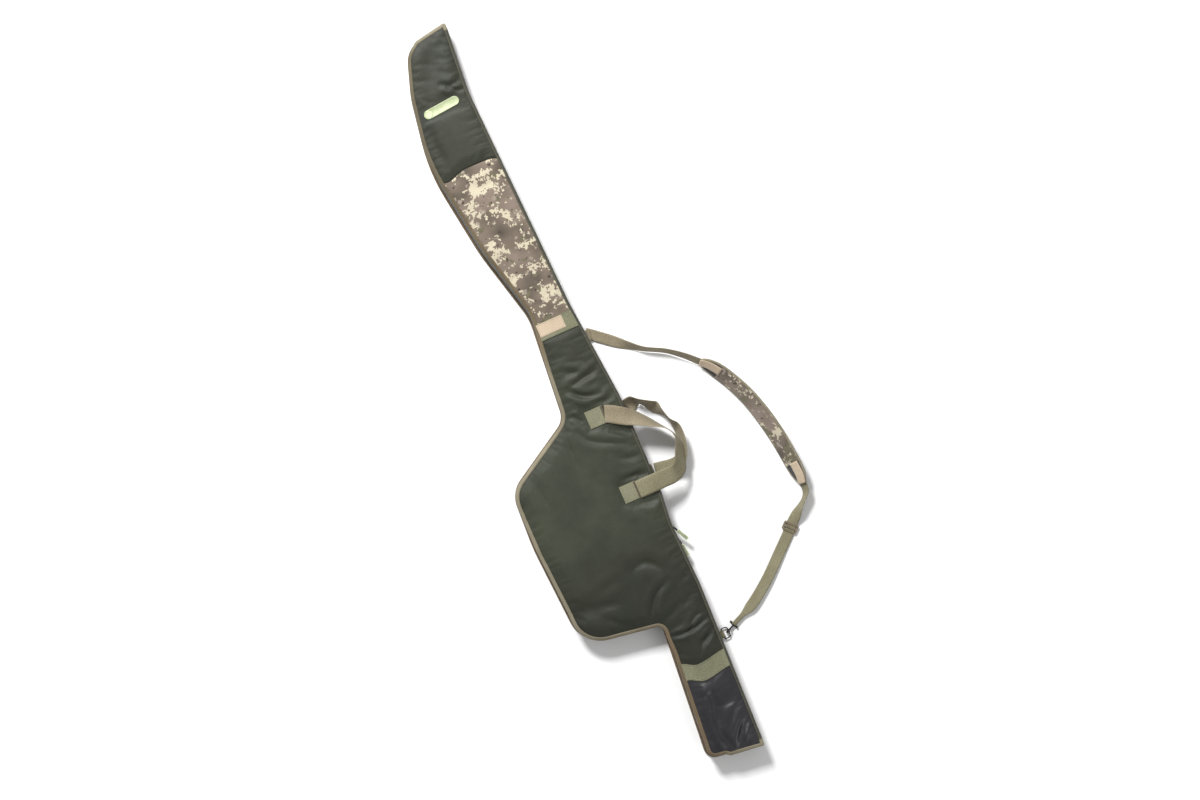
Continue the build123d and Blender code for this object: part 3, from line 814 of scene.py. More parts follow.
def split_front():
    """The four cloths of the front, each cut from the whole surface at its seams."""
    mesh = front_surface.data
    at = points_of(mesh)
    for index, (name, material, slot) in enumerate((
        ("head", OLIVE, "cover_fabric"),
        ("camo", CAMO, "camo_fabric"),
        ("main", OLIVE, "cover_fabric"),
        ("butt", BLACK, "butt_fabric"),
    )):
        faces = [tuple(f.vertices) for f in mesh.polygons if f.material_index == index]
        used = sorted({corner for face in faces for corner in face})
        place = {corner: number for number, corner in enumerate(used)}
        faces = [tuple(place[corner] for corner in face) for face in faces]
        cloth = link_mesh(f"{name}_cloth", at[used], faces, material)
        thicken(cloth, CLOTH)
        hand_over(cloth, HINGED, slot, f"{name}_side", f"{name}_flap")


def make_front_layer(name, drop, thickness, material, nodes, slot):
    """The front's padding or lining: the same surface again, some way under the cloth."""
    mesh = front_surface.data
    at = points_of(mesh) - (0, 0, drop)
    layer = link_mesh(name, at, [tuple(f.vertices) for f in mesh.polygons], material)
    thicken(layer, thickness)
    return hand_over(layer, HINGED, slot, *nodes)


split_front()
padding_nodes = ["front_foam_side", "front_foam_flap"]
lining_nodes = ["front_lining_side", "front_lining_flap"]
front_padding = make_front_layer("front_padding", CLOTH + 0.1 * MM, 3.9 * MM, FOAM, padding_nodes, "foam")
make_front_layer("front_lining", CLOTH + 4.1 * MM, 0.9 * MM, LINING, lining_nodes, "lining")


# ---------------------------------------------------------------- edge bindings
def sweep_round(name, loop, profile_at, material):
    """A closed profile of (in from the edge, height) swept round a loop; profile_at gives it everywhere."""
    points, places = [], []
    step = np.linalg.norm(loop[1] - loop[0])
    for index, (spot, way) in enumerate(zip(loop, inward(loop, 9 * MM))):
        profile = np.array(profile_at(spot, way))
        points += [(*(spot + way * depth), z) for depth, z in profile]
        places += [(index * step, run) for run in run_lengths(profile)]
    faces = grid_faces(len(loop), len(profile), wrap_rows=True, wrap_columns=True)
    return link_mesh(name, points, faces, material, places)


def spine_share(x, y):
    """1 along the zip's side of the front, where the tape is dark and narrow, and 0 elsewhere."""
    ends = smoothstep(HALF_LENGTH - abs(y), 12 * MM, 26 * MM)
    return float(smoothstep(x, -75 * MM, -45 * MM) * ends)


def make_front_binding():
    """The tape folded round the front seam; its top leg lies on the cloth."""
    loop = even_steps(FRONT, 4 * MM)

    def profile(spot, way):
        wander = 0.5 * MM * noise.noise((spot[0] * 30, spot[1] * 30, 2.0))
        leg = (9.8 - 1.6 * spine_share(*spot)) * MM + wander
        shoulder = leg - 1.6 * MM
        tops = [front_z(*(spot + way * depth)) for depth in (leg, shoulder, 5.6 * MM)]
        tops[1] = max(tops[1], tops[0] - 2.2 * MM)
        return [
            (leg, tops[0] + 0.15 * MM),
            (leg - 0.2 * MM, tops[0] + 0.9 * MM),
            (shoulder, tops[1] + 1.25 * MM),
            (5.6 * MM, tops[2] + 1.35 * MM),
            (2.6 * MM, FRONT_Z + 1.0 * MM),
            (0.7 * MM, FRONT_Z - 0.8 * MM),
            (0.0, FRONT_Z - 3.2 * MM),
            (0.7 * MM, FRONT_LOW_Z + 0.9 * MM),
            (2.6 * MM, FRONT_LOW_Z - 0.4 * MM),
            (5.8 * MM, FRONT_LOW_Z - 0.6 * MM),
            (5.8 * MM, FRONT_LOW_Z + 0.1 * MM),
            (2.9 * MM, FRONT_LOW_Z + 0.5 * MM),
            (1.5 * MM, FRONT_Z - 3.2 * MM),
            (2.9 * MM, FRONT_Z - 0.2 * MM),
            (5.6 * MM, tops[2] + 0.35 * MM),
            (shoulder, tops[1] + 0.3 * MM),
        ]

    tape = sweep_round("front_binding", loop, profile, BINDING)
    tape.data.materials.append(SPINE_BINDING)
    for face in tape.data.polygons:
        face.material_index = int(spine_share(*face.center[:2]) > 0.5)
    hand_over(tape, HINGED, "binding", "front_binding_side", "front_binding_flap")
    run = []
    for spot, way in zip(loop, inward(loop, 9 * MM)):
        x, y = spot + way * (7.6 - 1.2 * spine_share(*spot)) * MM
        run.append((x, y, front_z(x, y, 2 * MM) + 1.3 * MM))
    hand_over(stitches("front_binding_stitches", [run + run[:1]], TAN_THREAD), HINGED, "binding")


TAIL_YS = (-81 * MM, -262 * MM)


def under_tails(x, y):
    """1 over the back handle's sewn tails, which everything else on the back goes over."""
    on = 1 - smoothstep(np.min([abs(y - tail) for tail in TAIL_YS], axis=0), 26 * MM, 34 * MM)
    return on * smoothstep(x, -90 * MM, -76 * MM)


def make_back_binding():
    """The tape folded round the back seam, flat on the floor."""

    def profile(spot, way):
        lift = 1.5 * float(under_tails(*spot)) + 0.1
        wander = 0.4 * noise.noise((spot[0] * 30, spot[1] * 30, 8.0))
        return MM * np.array([
            (12.2 + wander, lift + 0.75), (12.0 + wander, lift), (5.0, lift), (1.6, max(lift, 0.5)),
            (0.2, 2.0), (0.0, 3.9), (0.3, 5.8), (1.7, 7.2), (5.8, 7.5), (5.8, 6.8), (2.4, 6.2), (1.2, 3.9),
            (2.0, lift + 1.1), (5.0, lift + 0.75),
        ])

    tape = sweep_round("back_binding_tape", even_steps(OUTER, 5 * MM), profile, BROWN_BINDING)
    hand_over(tape, "case", "binding", "back_binding")


make_front_binding()
make_back_binding()


# ---------------------------------------------------------------- back panel
def make_back_layer(name, inset, height, thickness, material, node_name, slot):
    """One flat layer of the back panel, rising a little where it passes over the tails and the seam."""
    loop = OUTER + inward(OUTER, 14 * MM) * inset
    spots, faces = filled_plan(loop, 14 * MM)
    z = height + 0.25 * MM * noise_at(*spots.T, 20, 20, 9.1)
    if height < 1 * MM:
        edge = np.array([np.linalg.norm(loop - spot, axis=1).min() for spot in spots])
        z = z + 1.1 * MM * (1 - smoothstep(edge, 8 * MM, 16 * MM)) + 1.4 * MM * under_tails(*spots.T)
    layer = link_mesh(name, np.column_stack([spots, z]), faces, material)
    face_up(layer.data)
    thicken(layer, thickness, 1)
    return hand_over(layer, "case", slot, node_name)


make_back_layer("back_cloth", 5 * MM, 0.35 * MM, 1.0 * MM, OLIVE, "back_cover", "cover_fabric")
back_padding = make_back_layer("back_padding", 7.5 * MM, 2.9 * MM, 2.5 * MM, FOAM, "back_foam", "foam")
make_back_layer("back_lining_cloth", 7.5 * MM, 5.75 * MM, 0.8 * MM, LINING, "back_lining", "lining")


# ---------------------------------------------------------------- side walls and zip
ZIP_TOP = np.array((-22.5 * MM, 800 * MM))
ZIP_BEND = np.array((4.5 * MM, -430 * MM))
ZIP_BOTTOM = np.array((-6 * MM, -1000 * MM))
ZIP_Z = (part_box("zip_teeth_case")[1].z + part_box("zip_teeth_flap")[0].z) / 2


def wall(name, low_line, high_line, low_z, high_z, out_ways, bulge, thickness, material, rows):
    """A standing strip of cloth between two lines in plan, bulging outwards a little."""
    points, places = [], []
    lengths = run_lengths(low_line)
    for row in range(rows):
        share = row / (rows - 1)
        swell = bulge * math.sin(math.pi * share)
        for low, high, way, length in zip(low_line, high_line, out_ways, lengths):
            spot = low * (1 - share) + high * share
            ripple = 0.45 * swell * noise.noise((spot[0] * 40, spot[1] * 40, share * 2))
            points.append((*(spot + way * (swell + ripple)), low_z + (high_z - low_z) * share))
            places.append((length, share * (high_z - low_z)))
    strip = link_mesh(name, points, grid_faces(rows, len(low_line)), material, places)
    middle = strip.data.polygons[len(strip.data.polygons) // 2]
    way = out_ways[len(low_line) // 2]
    if middle.normal.x * way[0] + middle.normal.y * way[1] < 0:
        strip.data.flip_normals()
    thicken(strip, thickness)
    return strip


def make_side_wall():
    """The padded side from the zip's top end round the tip, the pocket and the butt to its bottom end."""
    edge = 6.2 * MM
    lap = 7 * MM
    ways = inward(OUTER, 12 * MM)
    x, y = OUTER.T
    keep = (x < FOLD_X) | (y > FLAP_HIGH_Y - lap) | (y < FLAP_LOW_Y + lap)
    start = next(k for k in range(len(keep)) if keep[k] and not keep[k - 1])
    order = [(start + k) % len(keep) for k in range(len(keep)) if keep[(start + k) % len(keep)]][::6]
    low, high, out = (OUTER + ways * edge)[order], (FRONT + ways * edge)[order], -ways[order]
    side = wall("side_wall", low, high, 7 * MM, FRONT_LOW_Z + 0.4 * MM, out, 2.6 * MM, 2.4 * MM, OLIVE, 10)
    hand_over(side, "case", "cover_fabric", "side_gusset")


def zip_line(step, out, trim):
    """Points down the zip's two straight stretches, some way out of the gusset, and the way out at each."""
    spots, ways = [], []
    for a, b in ((ZIP_TOP, ZIP_BEND), (ZIP_BEND, ZIP_BOTTOM)):
        length = np.linalg.norm(b - a)
        along = (b - a) / length
        distances = np.arange(0, length, step)
        spots += [a + along * distance for distance in distances]
        ways += [(-along[1], along[0])] * len(distances)
    spots, ways = np.array(spots), np.array(ways)
    kernel = np.hanning(9)[1:-1]
    padded = np.vstack([ways[:1]] * 3 + [ways] + [ways[-1:]] * 3)
    ways = unit(np.column_stack([np.convolve(column, kernel, "valid") for column in padded.T]))
    keep = (spots[:, 1] < ZIP_TOP[1] - trim) & (spots[:, 1] > ZIP_BOTTOM[1] + trim)
    return spots[keep] + ways[keep] * out, ways[keep]


def make_zip_walls():
    """The gusset strips above and below the zip, and the zip's two tapes."""
    gusset = (0, 0.8 * MM, 2.4 * MM, OLIVE, "cover_fabric")
    tape = (0.9 * MM, 0, 0.7 * MM, ZIP_CLOTH, "zip_tape")
    for name, low_z, high_z, body, node_name, (out, bulge, thickness, material, slot) in (
        ("zip_wall_lower", 7, 20.5, "case", "spine_gusset_lower", gusset),
        ("zip_wall_upper", 35.5, 49.5, HINGED, "spine_gusset_upper", gusset),
        ("zip_tape_lower", 18.2, 27.2, "case", "zip_tape_case", tape),
        ("zip_tape_upper", 28.8, 37.8, HINGED, "zip_tape_flap", tape),
    ):
        line, ways = zip_line(8 * MM, out, 1 * MM)
        strip = wall(name, line, line, low_z * MM, high_z * MM, ways, bulge, thickness, material, 5)
        hand_over(strip, body, slot, node_name)


# A tooth's sections, in millimetres: the reach towards the other row, half the width, and the two depths.
TOOTH = ((3.0, 0.45, 0.95, 1.9), (1.2, 0.50, 0.95, 2.3), (-0.1, 0.62, 1.0, 2.3), (-0.5, 0.35, 1.2, 2.0))


def make_teeth():
    """Both rows of zip teeth, which mesh by half a pitch."""
    pitch = 2.4 * MM
    for name, side, shift, body, node_name in (
        ("zip_teeth_lower", -1, 0, "case", "zip_teeth_case"),
        ("zip_teeth_upper", 1, pitch / 2, HINGED, "zip_teeth_flap"),
    ):
        points, faces, places = [], [], []
        for spot, way in zip(*zip_line(pitch, 0, 9 * MM)):
            along = np.array((-way[1], way[0]))
            faces += tube_faces(len(TOOTH), 4, len(points))
            for reach, half, low, high in TOOTH:
                for across, out in ((-half, low), (half, low), (half * 0.8, high), (-half * 0.8, high)):
                    place = spot + along * (shift + across * MM) + way * out * MM
                    points.append((*place, ZIP_Z + side * reach * MM))
                    places.append((across * MM, out * MM))
        teeth = link_mesh(name, points, faces, TEETH, places, smooth=False, outward=True)
        hand_over(teeth, body, "zip_teeth", node_name)


make_side_wall()
make_zip_walls()
make_teeth()


# ---------------------------------------------------------------- bands, tab, badge and patches on the front
BAND_LIFT = 0.25 * MM
BAND = 1.3 * MM
SEAM_LIFT = 0.15 * MM
PATCH_LIFT = 0.3 * MM
PATCH = 1.5 * MM
PATCH_HALF = 23.5 * MM
BADGE_TURN = math.radians(5)


def side_x(y, right, inset):
    """Where the front's edge crosses a line along X, some way in."""
    near = FRONT[np.abs(FRONT[:, 1] - y) < 1.5 * MM]
    return near[:, 0].max() - inset if right else near[:, 0].min() + inset


def drape(name, left, right, low_y, high_y, lift, thickness, material, ribs=0, bends=False):
    """A flat sewn piece that follows the cloth under it; left and right give its ends at each y."""
    columns = max(4, round((right(low_y) - left(low_y)) / (3 * MM)))
    rows = max(4, round((high_y - low_y) / (1.1 * MM if ribs else 3 * MM)))
    points, places = [], []
    for row in range(rows + 1):
        y = low_y + (high_y - low_y) * row / rows
        rib = 0.22 * MM * math.cos(math.tau * ribs * row / rows) if ribs else 0
        start, width = left(y), right(y) - left(y)
        for column in range(columns + 1):
            x = start + width * column / columns
            bent_y = y + float(seam_shift(x, (low_y + high_y) / 2)) if bends else y
            points.append((x, bent_y, front_z(x, bent_y, 3 * MM) + lift + rib))
            places.append((y, x - start) if ribs else (x - start, y))
    piece = link_mesh(name, points, grid_faces(rows + 1, columns + 1), material, places)
    thicken(piece, thickness, 1)
    sharp = math.radians(50)
    reach = 0.35 * thickness
    apply_modifier(piece, "BEVEL", width=reach, segments=2, limit_method="ANGLE", angle_limit=sharp)
    return piece


def outline_run(low_x, high_x, low_y, high_y, lift):
    """A closed run of points round a rectangle on the cloth."""
    corners = [(low_x, low_y), (high_x, low_y), (high_x, high_y), (low_x, high_y), (low_x, low_y)]
    run = []
    for (ax, ay), (bx, by) in zip(corners, corners[1:]):
        count = max(2, round(math.hypot(bx - ax, by - ay) / (4 * MM)))
        run += [(ax + (bx - ax) * share, ay + (by - ay) * share) for share in np.arange(count) / count]
    return on_front(run + run[:1], lift)


def make_bands():
    """The ribbed waist and lower bands, tucked into the binding at both ends, stitched along both edges."""
    for name, low, high in (("waist_band", WAIST_LOW, WAIST_HIGH), ("lower_band", LOWER_LOW, LOWER_HIGH)):
        left, right = (lambda y: side_x(y, False, 8.4 * MM)), (lambda y: side_x(y, True, 7.0 * MM))
        band = drape(name, left, right, low.y, high.y, BAND_LIFT, BAND, GREEN_WEBBING, ribs=11, bends=True)
        hand_over(band, HINGED, "webbing", f"{name}_side", f"{name}_flap")
        runs = []
        for y in (low.y + 3 * MM, high.y - 3 * MM):
            xs = np.arange(left(y) + 4 * MM, right(y) - 4 * MM, 4 * MM)
            bent = [(x, y + float(seam_shift(x, (low.y + high.y) / 2))) for x in xs]
            runs.append(on_front(bent, BAND_LIFT + BAND + SEAM_LIFT))
        hand_over(stitches(f"{name}_stitches", runs, THREAD), HINGED, "webbing")


def make_tab():
    """The plain woven tab on the waist band."""
    low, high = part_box("waist_label")
    left = side_x(low.y, False, 9.0 * MM)
    lift = BAND_LIFT + BAND + 0.25 * MM
    tab = drape("waist_tab", lambda y: left, lambda y: high.x, low.y, high.y, lift, 0.8 * MM, TAB)
    hand_over(tab, HINGED, "label", "waist_label")
    inset = 2.5 * MM
    run = outline_run(left + inset, high.x - inset, low.y + inset, high.y - inset, lift + 0.9 * MM)
    hand_over(stitches("waist_tab_stitches", [run], TAN_THREAD), HINGED, "label")


def slot_outline(centre, half_length, radius):
    """A slot's outline in plan, its long way turned a little from X, as the badge is."""
    across, along = math.sin(BADGE_TURN), math.cos(BADGE_TURN)
    outline = []
    for k in range(48):
        turn = math.tau * (k + 0.5) / 48
        x = math.copysign(half_length - radius, math.cos(turn)) + radius * math.cos(turn)
        y = radius * math.sin(turn)
        outline.append((centre[0] + x * along - y * across, centre[1] + x * across + y * along))
    return outline


def raised_shape(name, centre, half, radius, steps, ground, material):
    """A moulded slot over the cloth; steps are (in from the outline, height) in millimetres."""
    points = []
    for inset, height in steps:
        outline = slot_outline(centre, half - inset * MM, radius - inset * MM)
        points += [(x, y, ground(x, y) + height * MM) for x, y in outline]
    faces = tube_faces(len(steps), len(outline))[:-1]
    last, tip = len(points) - len(outline), len(points)
    faces += [(last + k, last + (k + 1) % len(outline), tip) for k in range(len(outline))]
    points.append((*centre, ground(*centre) + steps[-1][1] * MM))
    return link_mesh(name, points, faces, material, outward=True)


def make_badge():
    """The plain moulded badge: a slot with a raised rim, and a raised ring at its pocket-side end."""
    low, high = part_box("badge_plate")
    half, radius = (high.x - low.x) / 2, (high.y - low.y) / 2
    centre = (BADGE.x, BADGE.y)
    ends = [front_z(BADGE.x + k * half * 0.9, BADGE.y, 6 * MM) for k in (-1, 0, 1)]

    def ground(x, y):
        along = (x - BADGE.x) / half
        return ends[1] + (ends[2] - ends[0]) / 2 * along + (ends[0] + ends[2] - 2 * ends[1]) / 2 * along**2

    steps = ((0, 0.1), (0, 1.3), (0.5, 1.9), (1.6, 2.0), (2.2, 1.6), (2.6, 1.2))
    plate = raised_shape("badge", centre, half, radius, steps, ground, BADGE_RUBBER)
    hand_over(plate, "case", "badge_rubber", "badge_plate")
    reach = half - radius - 1 * MM
    centre = (BADGE.x - reach * math.cos(BADGE_TURN), BADGE.y - reach * math.sin(BADGE_TURN))
    size = 9.4 * MM
    steps = (
        (0, 0.9), (0, 2.2), (0.5, 2.7), (1.8, 2.7), (2.3, 2.2), (2.6, 1.8), (6, 1.8), (6.6, 2.3), (7.2, 2.4),
    )
    ring = raised_shape("badge_ring", centre, size, 0.999 * size, steps, ground, GRIP_EDGE)
    hand_over(ring, "case", "badge_rubber", "badge_boss")


def make_patches():
    """The front handle's two sewn ends, each with a box of stitches, its diagonals and a dense tack."""
    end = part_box("handle_patches_front")[1].x + 1 * MM
    over = PATCH_LIFT + PATCH + SEAM_LIFT
    boxes, tacks = [], []
    for number, (px, py) in enumerate(PATCHES):
        left, low, high = px - PATCH_HALF, py - PATCH_HALF, py + PATCH_HALF
        name, ends = f"handle_patch_{number}", (lambda y: left, lambda y: end)
        patch = drape(name, *ends, low, high, PATCH_LIFT, PATCH, GREEN_WEBBING, 12)
        hand_over(patch, HINGED, "webbing", "handle_patches_front")
        low_x, high_x, low_y, high_y = left + 4 * MM, end - 7 * MM, low + 4 * MM, high - 4 * MM
        boxes.append(outline_run(low_x, high_x, low_y, high_y, over))
        for start_y, end_y in ((low_y, high_y), (high_y, low_y)):
            start, end_spot = np.array((low_x, start_y)), np.array((high_x, end_y))
            line = [start + (end_spot - start) * share for share in np.linspace(0.06, 0.94, 12)]
            boxes.append(on_front(line, over))
        for y in np.linspace(low + 2 * MM, high - 2 * MM, 26):
            tacks.append(on_front([(end - 5 * MM, y), (end - 1 * MM, y + 0.5 * MM)], over))
    box_rows = stitches("handle_patch_stitches", boxes, TAN_THREAD, 4.2 * MM, 3.0 * MM, 0.8 * MM)
    tack_rows = stitches("handle_patch_tacks", tacks, BROWN_THREAD, 4.0 * MM, 4.0 * MM, 1.3 * MM)
    for rows in (box_rows, tack_rows):
        hand_over(rows, HINGED, "webbing")


make_bands()
make_tab()
make_badge()
make_patches()


# ---------------------------------------------------------------- handles and shoulder strap
HANDLE_WIDTH = 47 * MM
BACK_HANDLE_WIDTH = 43 * MM
STRAP_WIDTH = 29 * MM


def mm_stations(rows):
    """Stations given in millimetres and degrees, in metres and degrees."""
    return [(x * MM, y * MM, z * MM, lean) for x, y, z, lean in rows]


def make_handles():
    """Both webbing handles: sewn flat at their ends, and twisted on edge where they arch beside the case."""
    upper, lower = [front_z(-34 * MM, y, 6 * MM) / MM + 3.2 for y in (-71 * MM, -284 * MM)]
    route = mm_stations([
        (-33, -72, upper, 0), (-25, -75, upper, 0), (-14, -81, upper, -1), (0, -90, upper, -4),
        (14, -99, upper - 1.8, -14), (28, -108, 57.6, -30), (46, -122, 52.0, -48), (66, -139, 48.0, -64),
        (86, -157, 46.3, -80), (98, -169, 45.6, -88), (108, -184, 45.6, -88), (113, -203, 45.8, -80),
        (112, -222, 46.4, -66), (106, -243, 48, -54), (97, -264, 50.5, -48), (84, -281, 53.5, -34),
        (64, -286, 57.5, -12), (38, -286, 61, -4), (6, -286, lower - 0.1, -1), (-20, -286, lower, 0),
        (-33, -286, lower, 0),
    ])
    front = ribbon("front_handle", route, HANDLE_WIDTH, 2.2 * MM, WEBBING)
    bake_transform(front, "lid", "handle_front", start=(-32 * MM, 0, FRONT_Z), end=(-8 * MM, 0, FRONT_Z))
    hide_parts("handle_front")
    route = mm_stations([
        (27.6, -81, 3.4, 0), (36, -76, 7, 14), (48, -72, 15, 40), (60, -77, 22, 72), (78, -91, 22, 66),
        (93, -107, 18, 46), (105, -128, 22, 74), (115, -150, 23, 86), (124, -172, 21.5, 66),
        (126, -196, 21.5, 62), (122, -222, 21.5, 64), (113, -246, 20.5, 60), (96, -262, 17, 45),
        (72, -268, 11, 24), (46, -265, 5, 6), (27.6, -262, 3.4, 0),
    ])
    back = ribbon("back_handle", route, BACK_HANDLE_WIDTH, 2.2 * MM, WEBBING)
    hand_over(back, "handle_back", "webbing", "handle_back")
    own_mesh(back)


PAD_LINE = [
    (246, -45, 20.2, 56), (264, -64, 22.2, 53), (283, -91, 23.6, 49), (303, -127, 24, 48),
    (326, -181, 25, 46), (343, -242, 25, 44), (355, -306, 25, 44), (362, -370, 25, 46),
    (366, -420, 24.5, 48), (367, -449, 22.5, 54),
]


def make_strap():
    """The shoulder strap's webbing, which turns on edge as it rounds its curve on the floor."""
    before = [
        (6, 141, 4.4, 2), (19, 131, 4.6, 4), (38, 115, 4.8, 6), (58, 98, 4.8, 8), (74, 84, 6.8, 22),
        (98, 65, 12.5, 50), (130, 41, 15.5, 66), (179, 14, 16.8, 67), (218, -17, 18.6, 61),
    ]
    after = [
        (364, -468, 19.5, 60), (352, -484, 17, 72), (334, -500, 14, 60), (316, -516, 7.6, 26),
        (300, -530, 3.6, 8), (280, -550, 3.0, 3), (246, -580, 3.4, 6), (186, -633, 4.8, 12),
        (138, -669, 5.6, 16), (112, -685, 5.6, 16), (86, -696, 6.2, 10), (62, -706, 7.4, 4),
        (53, -711, 8.0, 0),
    ]
    route = mm_stations(before + PAD_LINE + after)
    strap = ribbon("shoulder_strap_webbing", route, STRAP_WIDTH, 1.9 * MM, WEBBING, folded_end=70 * MM)
    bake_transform(strap, "case", "strap", start=(10 * MM, 138 * MM, 5 * MM), end=(38 * MM, 115 * MM, 5 * MM))
    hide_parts("shoulder_strap")


PAD_HALF = 27 * MM


def pad_half_width(length, total, half):
    """The pad's half width: even in the middle and rounded off to blunt points at its ends."""
    near = min(length, total - length) / (62 * MM)
    return half * (1 - max(0.0, 1 - near) ** 2.2) ** 0.55


def rounded(turn, power):
    """A corner-heavy cosine and sine, which draw a box with rounded corners."""
    return [math.copysign(abs(value) ** power, value) for value in (math.cos(turn), math.sin(turn))]


def pad_shell(name, trim, half, half_thick, material, crumple=0.0):
    """A crowned closed form along the pad's line, some way short of both ends."""
    line, lengths, wide, thick = line_frame(mm_stations(PAD_LINE))
    total = lengths[-1]
    rings, places = [], []
    for spot, length, across, over in zip(line, lengths, wide, thick):
        if not trim <= length <= total - trim:
            continue
        ring = []
        for side in range(28):
            u, v = rounded(math.tau * side / 28, 0.8)
            u *= pad_half_width(length, total, half)
            v = v * half_thick + crumple * noise.noise((length * 45, u * 60, 3.0))
            ring.append(spot + across * u + over * v)
            places.append((length, u))
        rings.append(ring)
    return skin(name, rings, places, material)


def make_pad():
    """The shoulder pad: a dark padded core with a bound edge, a printed sleeve, and webbing over its ends."""
    core = pad_shell("pad_padding", 3 * MM, PAD_HALF, 4.2 * MM, FOAM)
    sleeve = pad_shell("pad_sleeve", 58 * MM, PAD_HALF + 0.6 * MM, 5.6 * MM, CAMO, 0.7 * MM)
    hand_over(core, "pad", "foam", "pad_core")
    hand_over(sleeve, "pad", "camo_fabric", "pad_cover")
    line, lengths, wide, thick = line_frame(mm_stations(PAD_LINE))
    total = lengths[-1]
    points, places = [], []
    inner = range(1, len(line) - 1)
    edge = [(k, 1) for k in inner] + [(k, -1) for k in reversed(inner)]
    for k, sign in edge:
        spot = line[k] + wide[k] * sign * pad_half_width(lengths[k], total, PAD_HALF)
        for depth, rise in ((-3.6, 3.2), (0.2, 2.8), (1.4, 0), (0.2, -2.8), (-3.6, -3.2), (-2.6, 0)):
            points.append(spot + wide[k] * sign * depth * MM + thick[k] * rise * MM)
            places.append((lengths[k], depth * MM))
    faces = grid_faces(len(edge), 6, wrap_rows=True, wrap_columns=True)
    hand_over(link_mesh("pad_binding", points, faces, BINDING, places, outward=True), "pad", "binding")
    reach = 66 * MM
    for name, low, high in (
        ("pad_webbing_upper", 2 * MM, reach),
        ("pad_webbing_lower", total - reach, total - 2 * MM),
    ):
        rings, places = [], []
        for spot, length, across, over in zip(line, lengths, wide, thick):
            if not low <= length <= high:
                continue
            ring = []
            inner_share = min(1.0, min(length, total - length) / (30 * MM))
            for side, share, edge in section(9):
                u = share * 13.5 * MM
                out = u + 6.5 * MM * inner_share
                crown = 4.6 * MM * (1 - (out / (PAD_HALF * 1.3)) ** 2) * (0.85 + 0.15 * inner_share)
                rise = (1 + side * (0.5 if edge else 1)) * 0.9 * MM
                ring.append(spot + across * out + over * (crown + rise))
                places.append((length, u))
            rings.append(ring)
        hand_over(skin(name, rings, places, TAB), "pad", "webbing")


def make_tails():
    """The back handle's two sewn ends, flat under the case."""
    low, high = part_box("handle_tails_back")
    for number, y in enumerate(TAIL_YS):
        route = [(low.x, y, 0.75 * MM, 0), (low.x / 2, y, 0.75 * MM, 0), (high.x, y, 0.8 * MM, 0)]
        tail = ribbon(f"back_handle_tail_{number}", route, BACK_HANDLE_WIDTH, 1.2 * MM, WEBBING)
        hand_over(tail, "case", "webbing", "handle_tails_back")


def make_rod_bands():
    """Three elastic bands inside, arched a little where the rod goes and sewn flat at their ends."""
    low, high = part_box("rod_bands")
    for number, y in enumerate((600 * MM, 60 * MM, -880 * MM)):
        route = []
        for share in np.linspace(0, 1, 9):
            arch = 5 * MM * math.sin(math.pi * share) ** 2
            route.append((low.x + (high.x - low.x) * share, y, low.z + 0.6 * MM + arch, 0))
        band = ribbon(f"rod_band_{number}", route, 38 * MM, 1.2 * MM, ELASTIC)
        hand_over(band, "case", "elastic", "rod_bands")
        runs = []
        for x in (low.x + 3 * MM, high.x - 3 * MM):
            runs.append([(x, y + offset * MM, low.z + 1.6 * MM) for offset in range(-17, 18, 4)])
        hand_over(stitches(f"rod_band_stitches_{number}", runs, THREAD), "case", "elastic")


def make_strap_tabs():
    """The strap's sewn root at the waist, and the folded loop that holds the D-ring at the butt."""
    low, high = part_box("strap_tab_upper")
    y, z = (low.y + high.y) / 2, (low.z + high.z) / 2
    route = [(low.x, y + 4 * MM, z, 0), (0, y + 2 * MM, z, 0), (high.x, y, z, 0)]
    root = ribbon("strap_root", route, STRAP_WIDTH, high.z - low.z, WEBBING)
    hand_over(root, "case", "webbing", "strap_tab_upper")
    low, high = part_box("strap_tab_lower")
    half = 0.6 * MM
    middle_z = (low.z + high.z) / 2
    bend = (high.z - low.z) / 2 - half
    start = high.x - bend - half
    line = [(low.x, low.z + half), (start, low.z + half)]
    for turn in np.radians(np.linspace(-90, 90, 9)[1:-1]):
        line.append((start + bend * math.cos(turn), middle_z + bend * math.sin(turn)))
    line += [(start, high.z - half), (low.x, middle_z + 1.2 * MM)]
    widths = np.linspace(low.y + 0.3 * MM, high.y - 0.3 * MM, 8)
    points = [(x, y, z) for x, z in line for y in widths]
    places = [(index * 3 * MM, y) for index in range(len(line)) for y in widths]
    loop = link_mesh("ring_loop", points, grid_faces(len(line), len(widths)), WEBBING, places)
    thicken(loop, 1.1 * MM, 0)
    hand_over(loop, "case", "webbing", "strap_tab_lower")


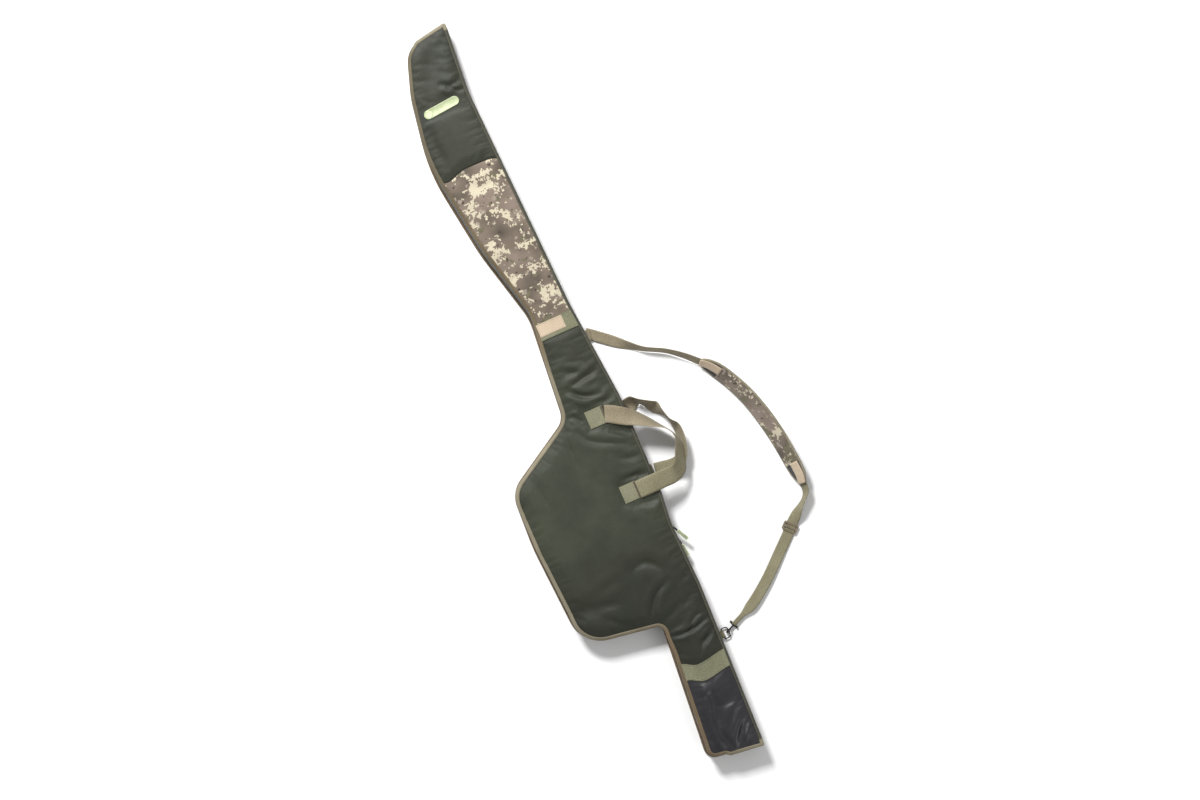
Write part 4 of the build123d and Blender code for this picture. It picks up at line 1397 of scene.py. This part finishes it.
def make_grips():
    """The pulls' rubber grips: waisted, ribbed across, with a pale raised edge."""
    for side in ("upper", "lower"):
        low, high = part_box(f"pull_grip_{side}")
        half_height = (high.z - low.z) / 2
        spots = points_of(frame["nodes"][f"pull_grip_{side}"].data)[:, :2]
        middle = spots.mean(axis=0)
        along = np.linalg.svd(spots - middle, full_matrices=False)[2][0]
        along = along if along[1] < 0 else -along
        across = np.array((-along[1], along[0]))
        run = (spots - middle) @ along
        half_width = np.abs((spots - middle) @ across).max()
        for name, stretch, scale, thick, ribs, material in (
            (f"pull_grip_edge_{side}", 1.0, 1.0, 0.55, 0.0, GRIP_EDGE),
            (f"pull_grip_body_{side}", 0.90, 0.80, 1.0, 0.22, GRIP_RUBBER),
        ):
            rings, places = [], []
            for share in np.linspace(0, 1, 41):
                length = run.min() + (run.max() - run.min()) * (0.5 + (share - 0.5) * stretch)
                end = min(share, 1 - share) * 2
                waist = 1 - 0.16 * math.exp(-(((share - 0.35) / 0.16) ** 2))
                width = half_width * scale * waist * (1 - (1 - min(1, end / 0.22)) ** 2) ** 0.5
                rib = 1 - ribs * (0.5 + 0.5 * math.cos(math.tau * share * 9))
                height = half_height * thick * rib * min(1, 0.35 + end / 0.15)
                ring = []
                for corner in range(16):
                    u, v = rounded(math.tau * corner / 16, 0.5)
                    u *= max(width, 0.4 * MM)
                    ring.append((*(middle + along * length + across * u), (low.z + high.z) / 2 + v * height))
                    places.append((length, u))
                rings.append(ring)
            hand_over(skin(name, rings, places, material), f"pull_{side}", "pull_rubber", f"pull_grip_{side}")


make_handles()
make_strap()
make_pad()
make_tails()
make_rod_bands()
make_strap_tabs()
make_grips()


# ---------------------------------------------------------------- fittings kept from the CAD
DARK_FITTINGS = (
    "slider_upper", "slider_lower", "pull_link_upper", "pull_link_lower", "zip_stops",
    "strap_hook", "hook_gate",
)
KEPT = dict.fromkeys(DARK_FITTINGS, DARK_METAL)
KEPT |= {"d_ring": RING_METAL, "adjuster": BUCKLE}
for node_name, material in KEPT.items():
    for place in frame["nodes"][node_name].material_slots:
        place.material = material


# ---------------------------------------------------------------- scene
bpy.data.objects.remove(front_surface)
make_camera()
make_light()
make_floor()
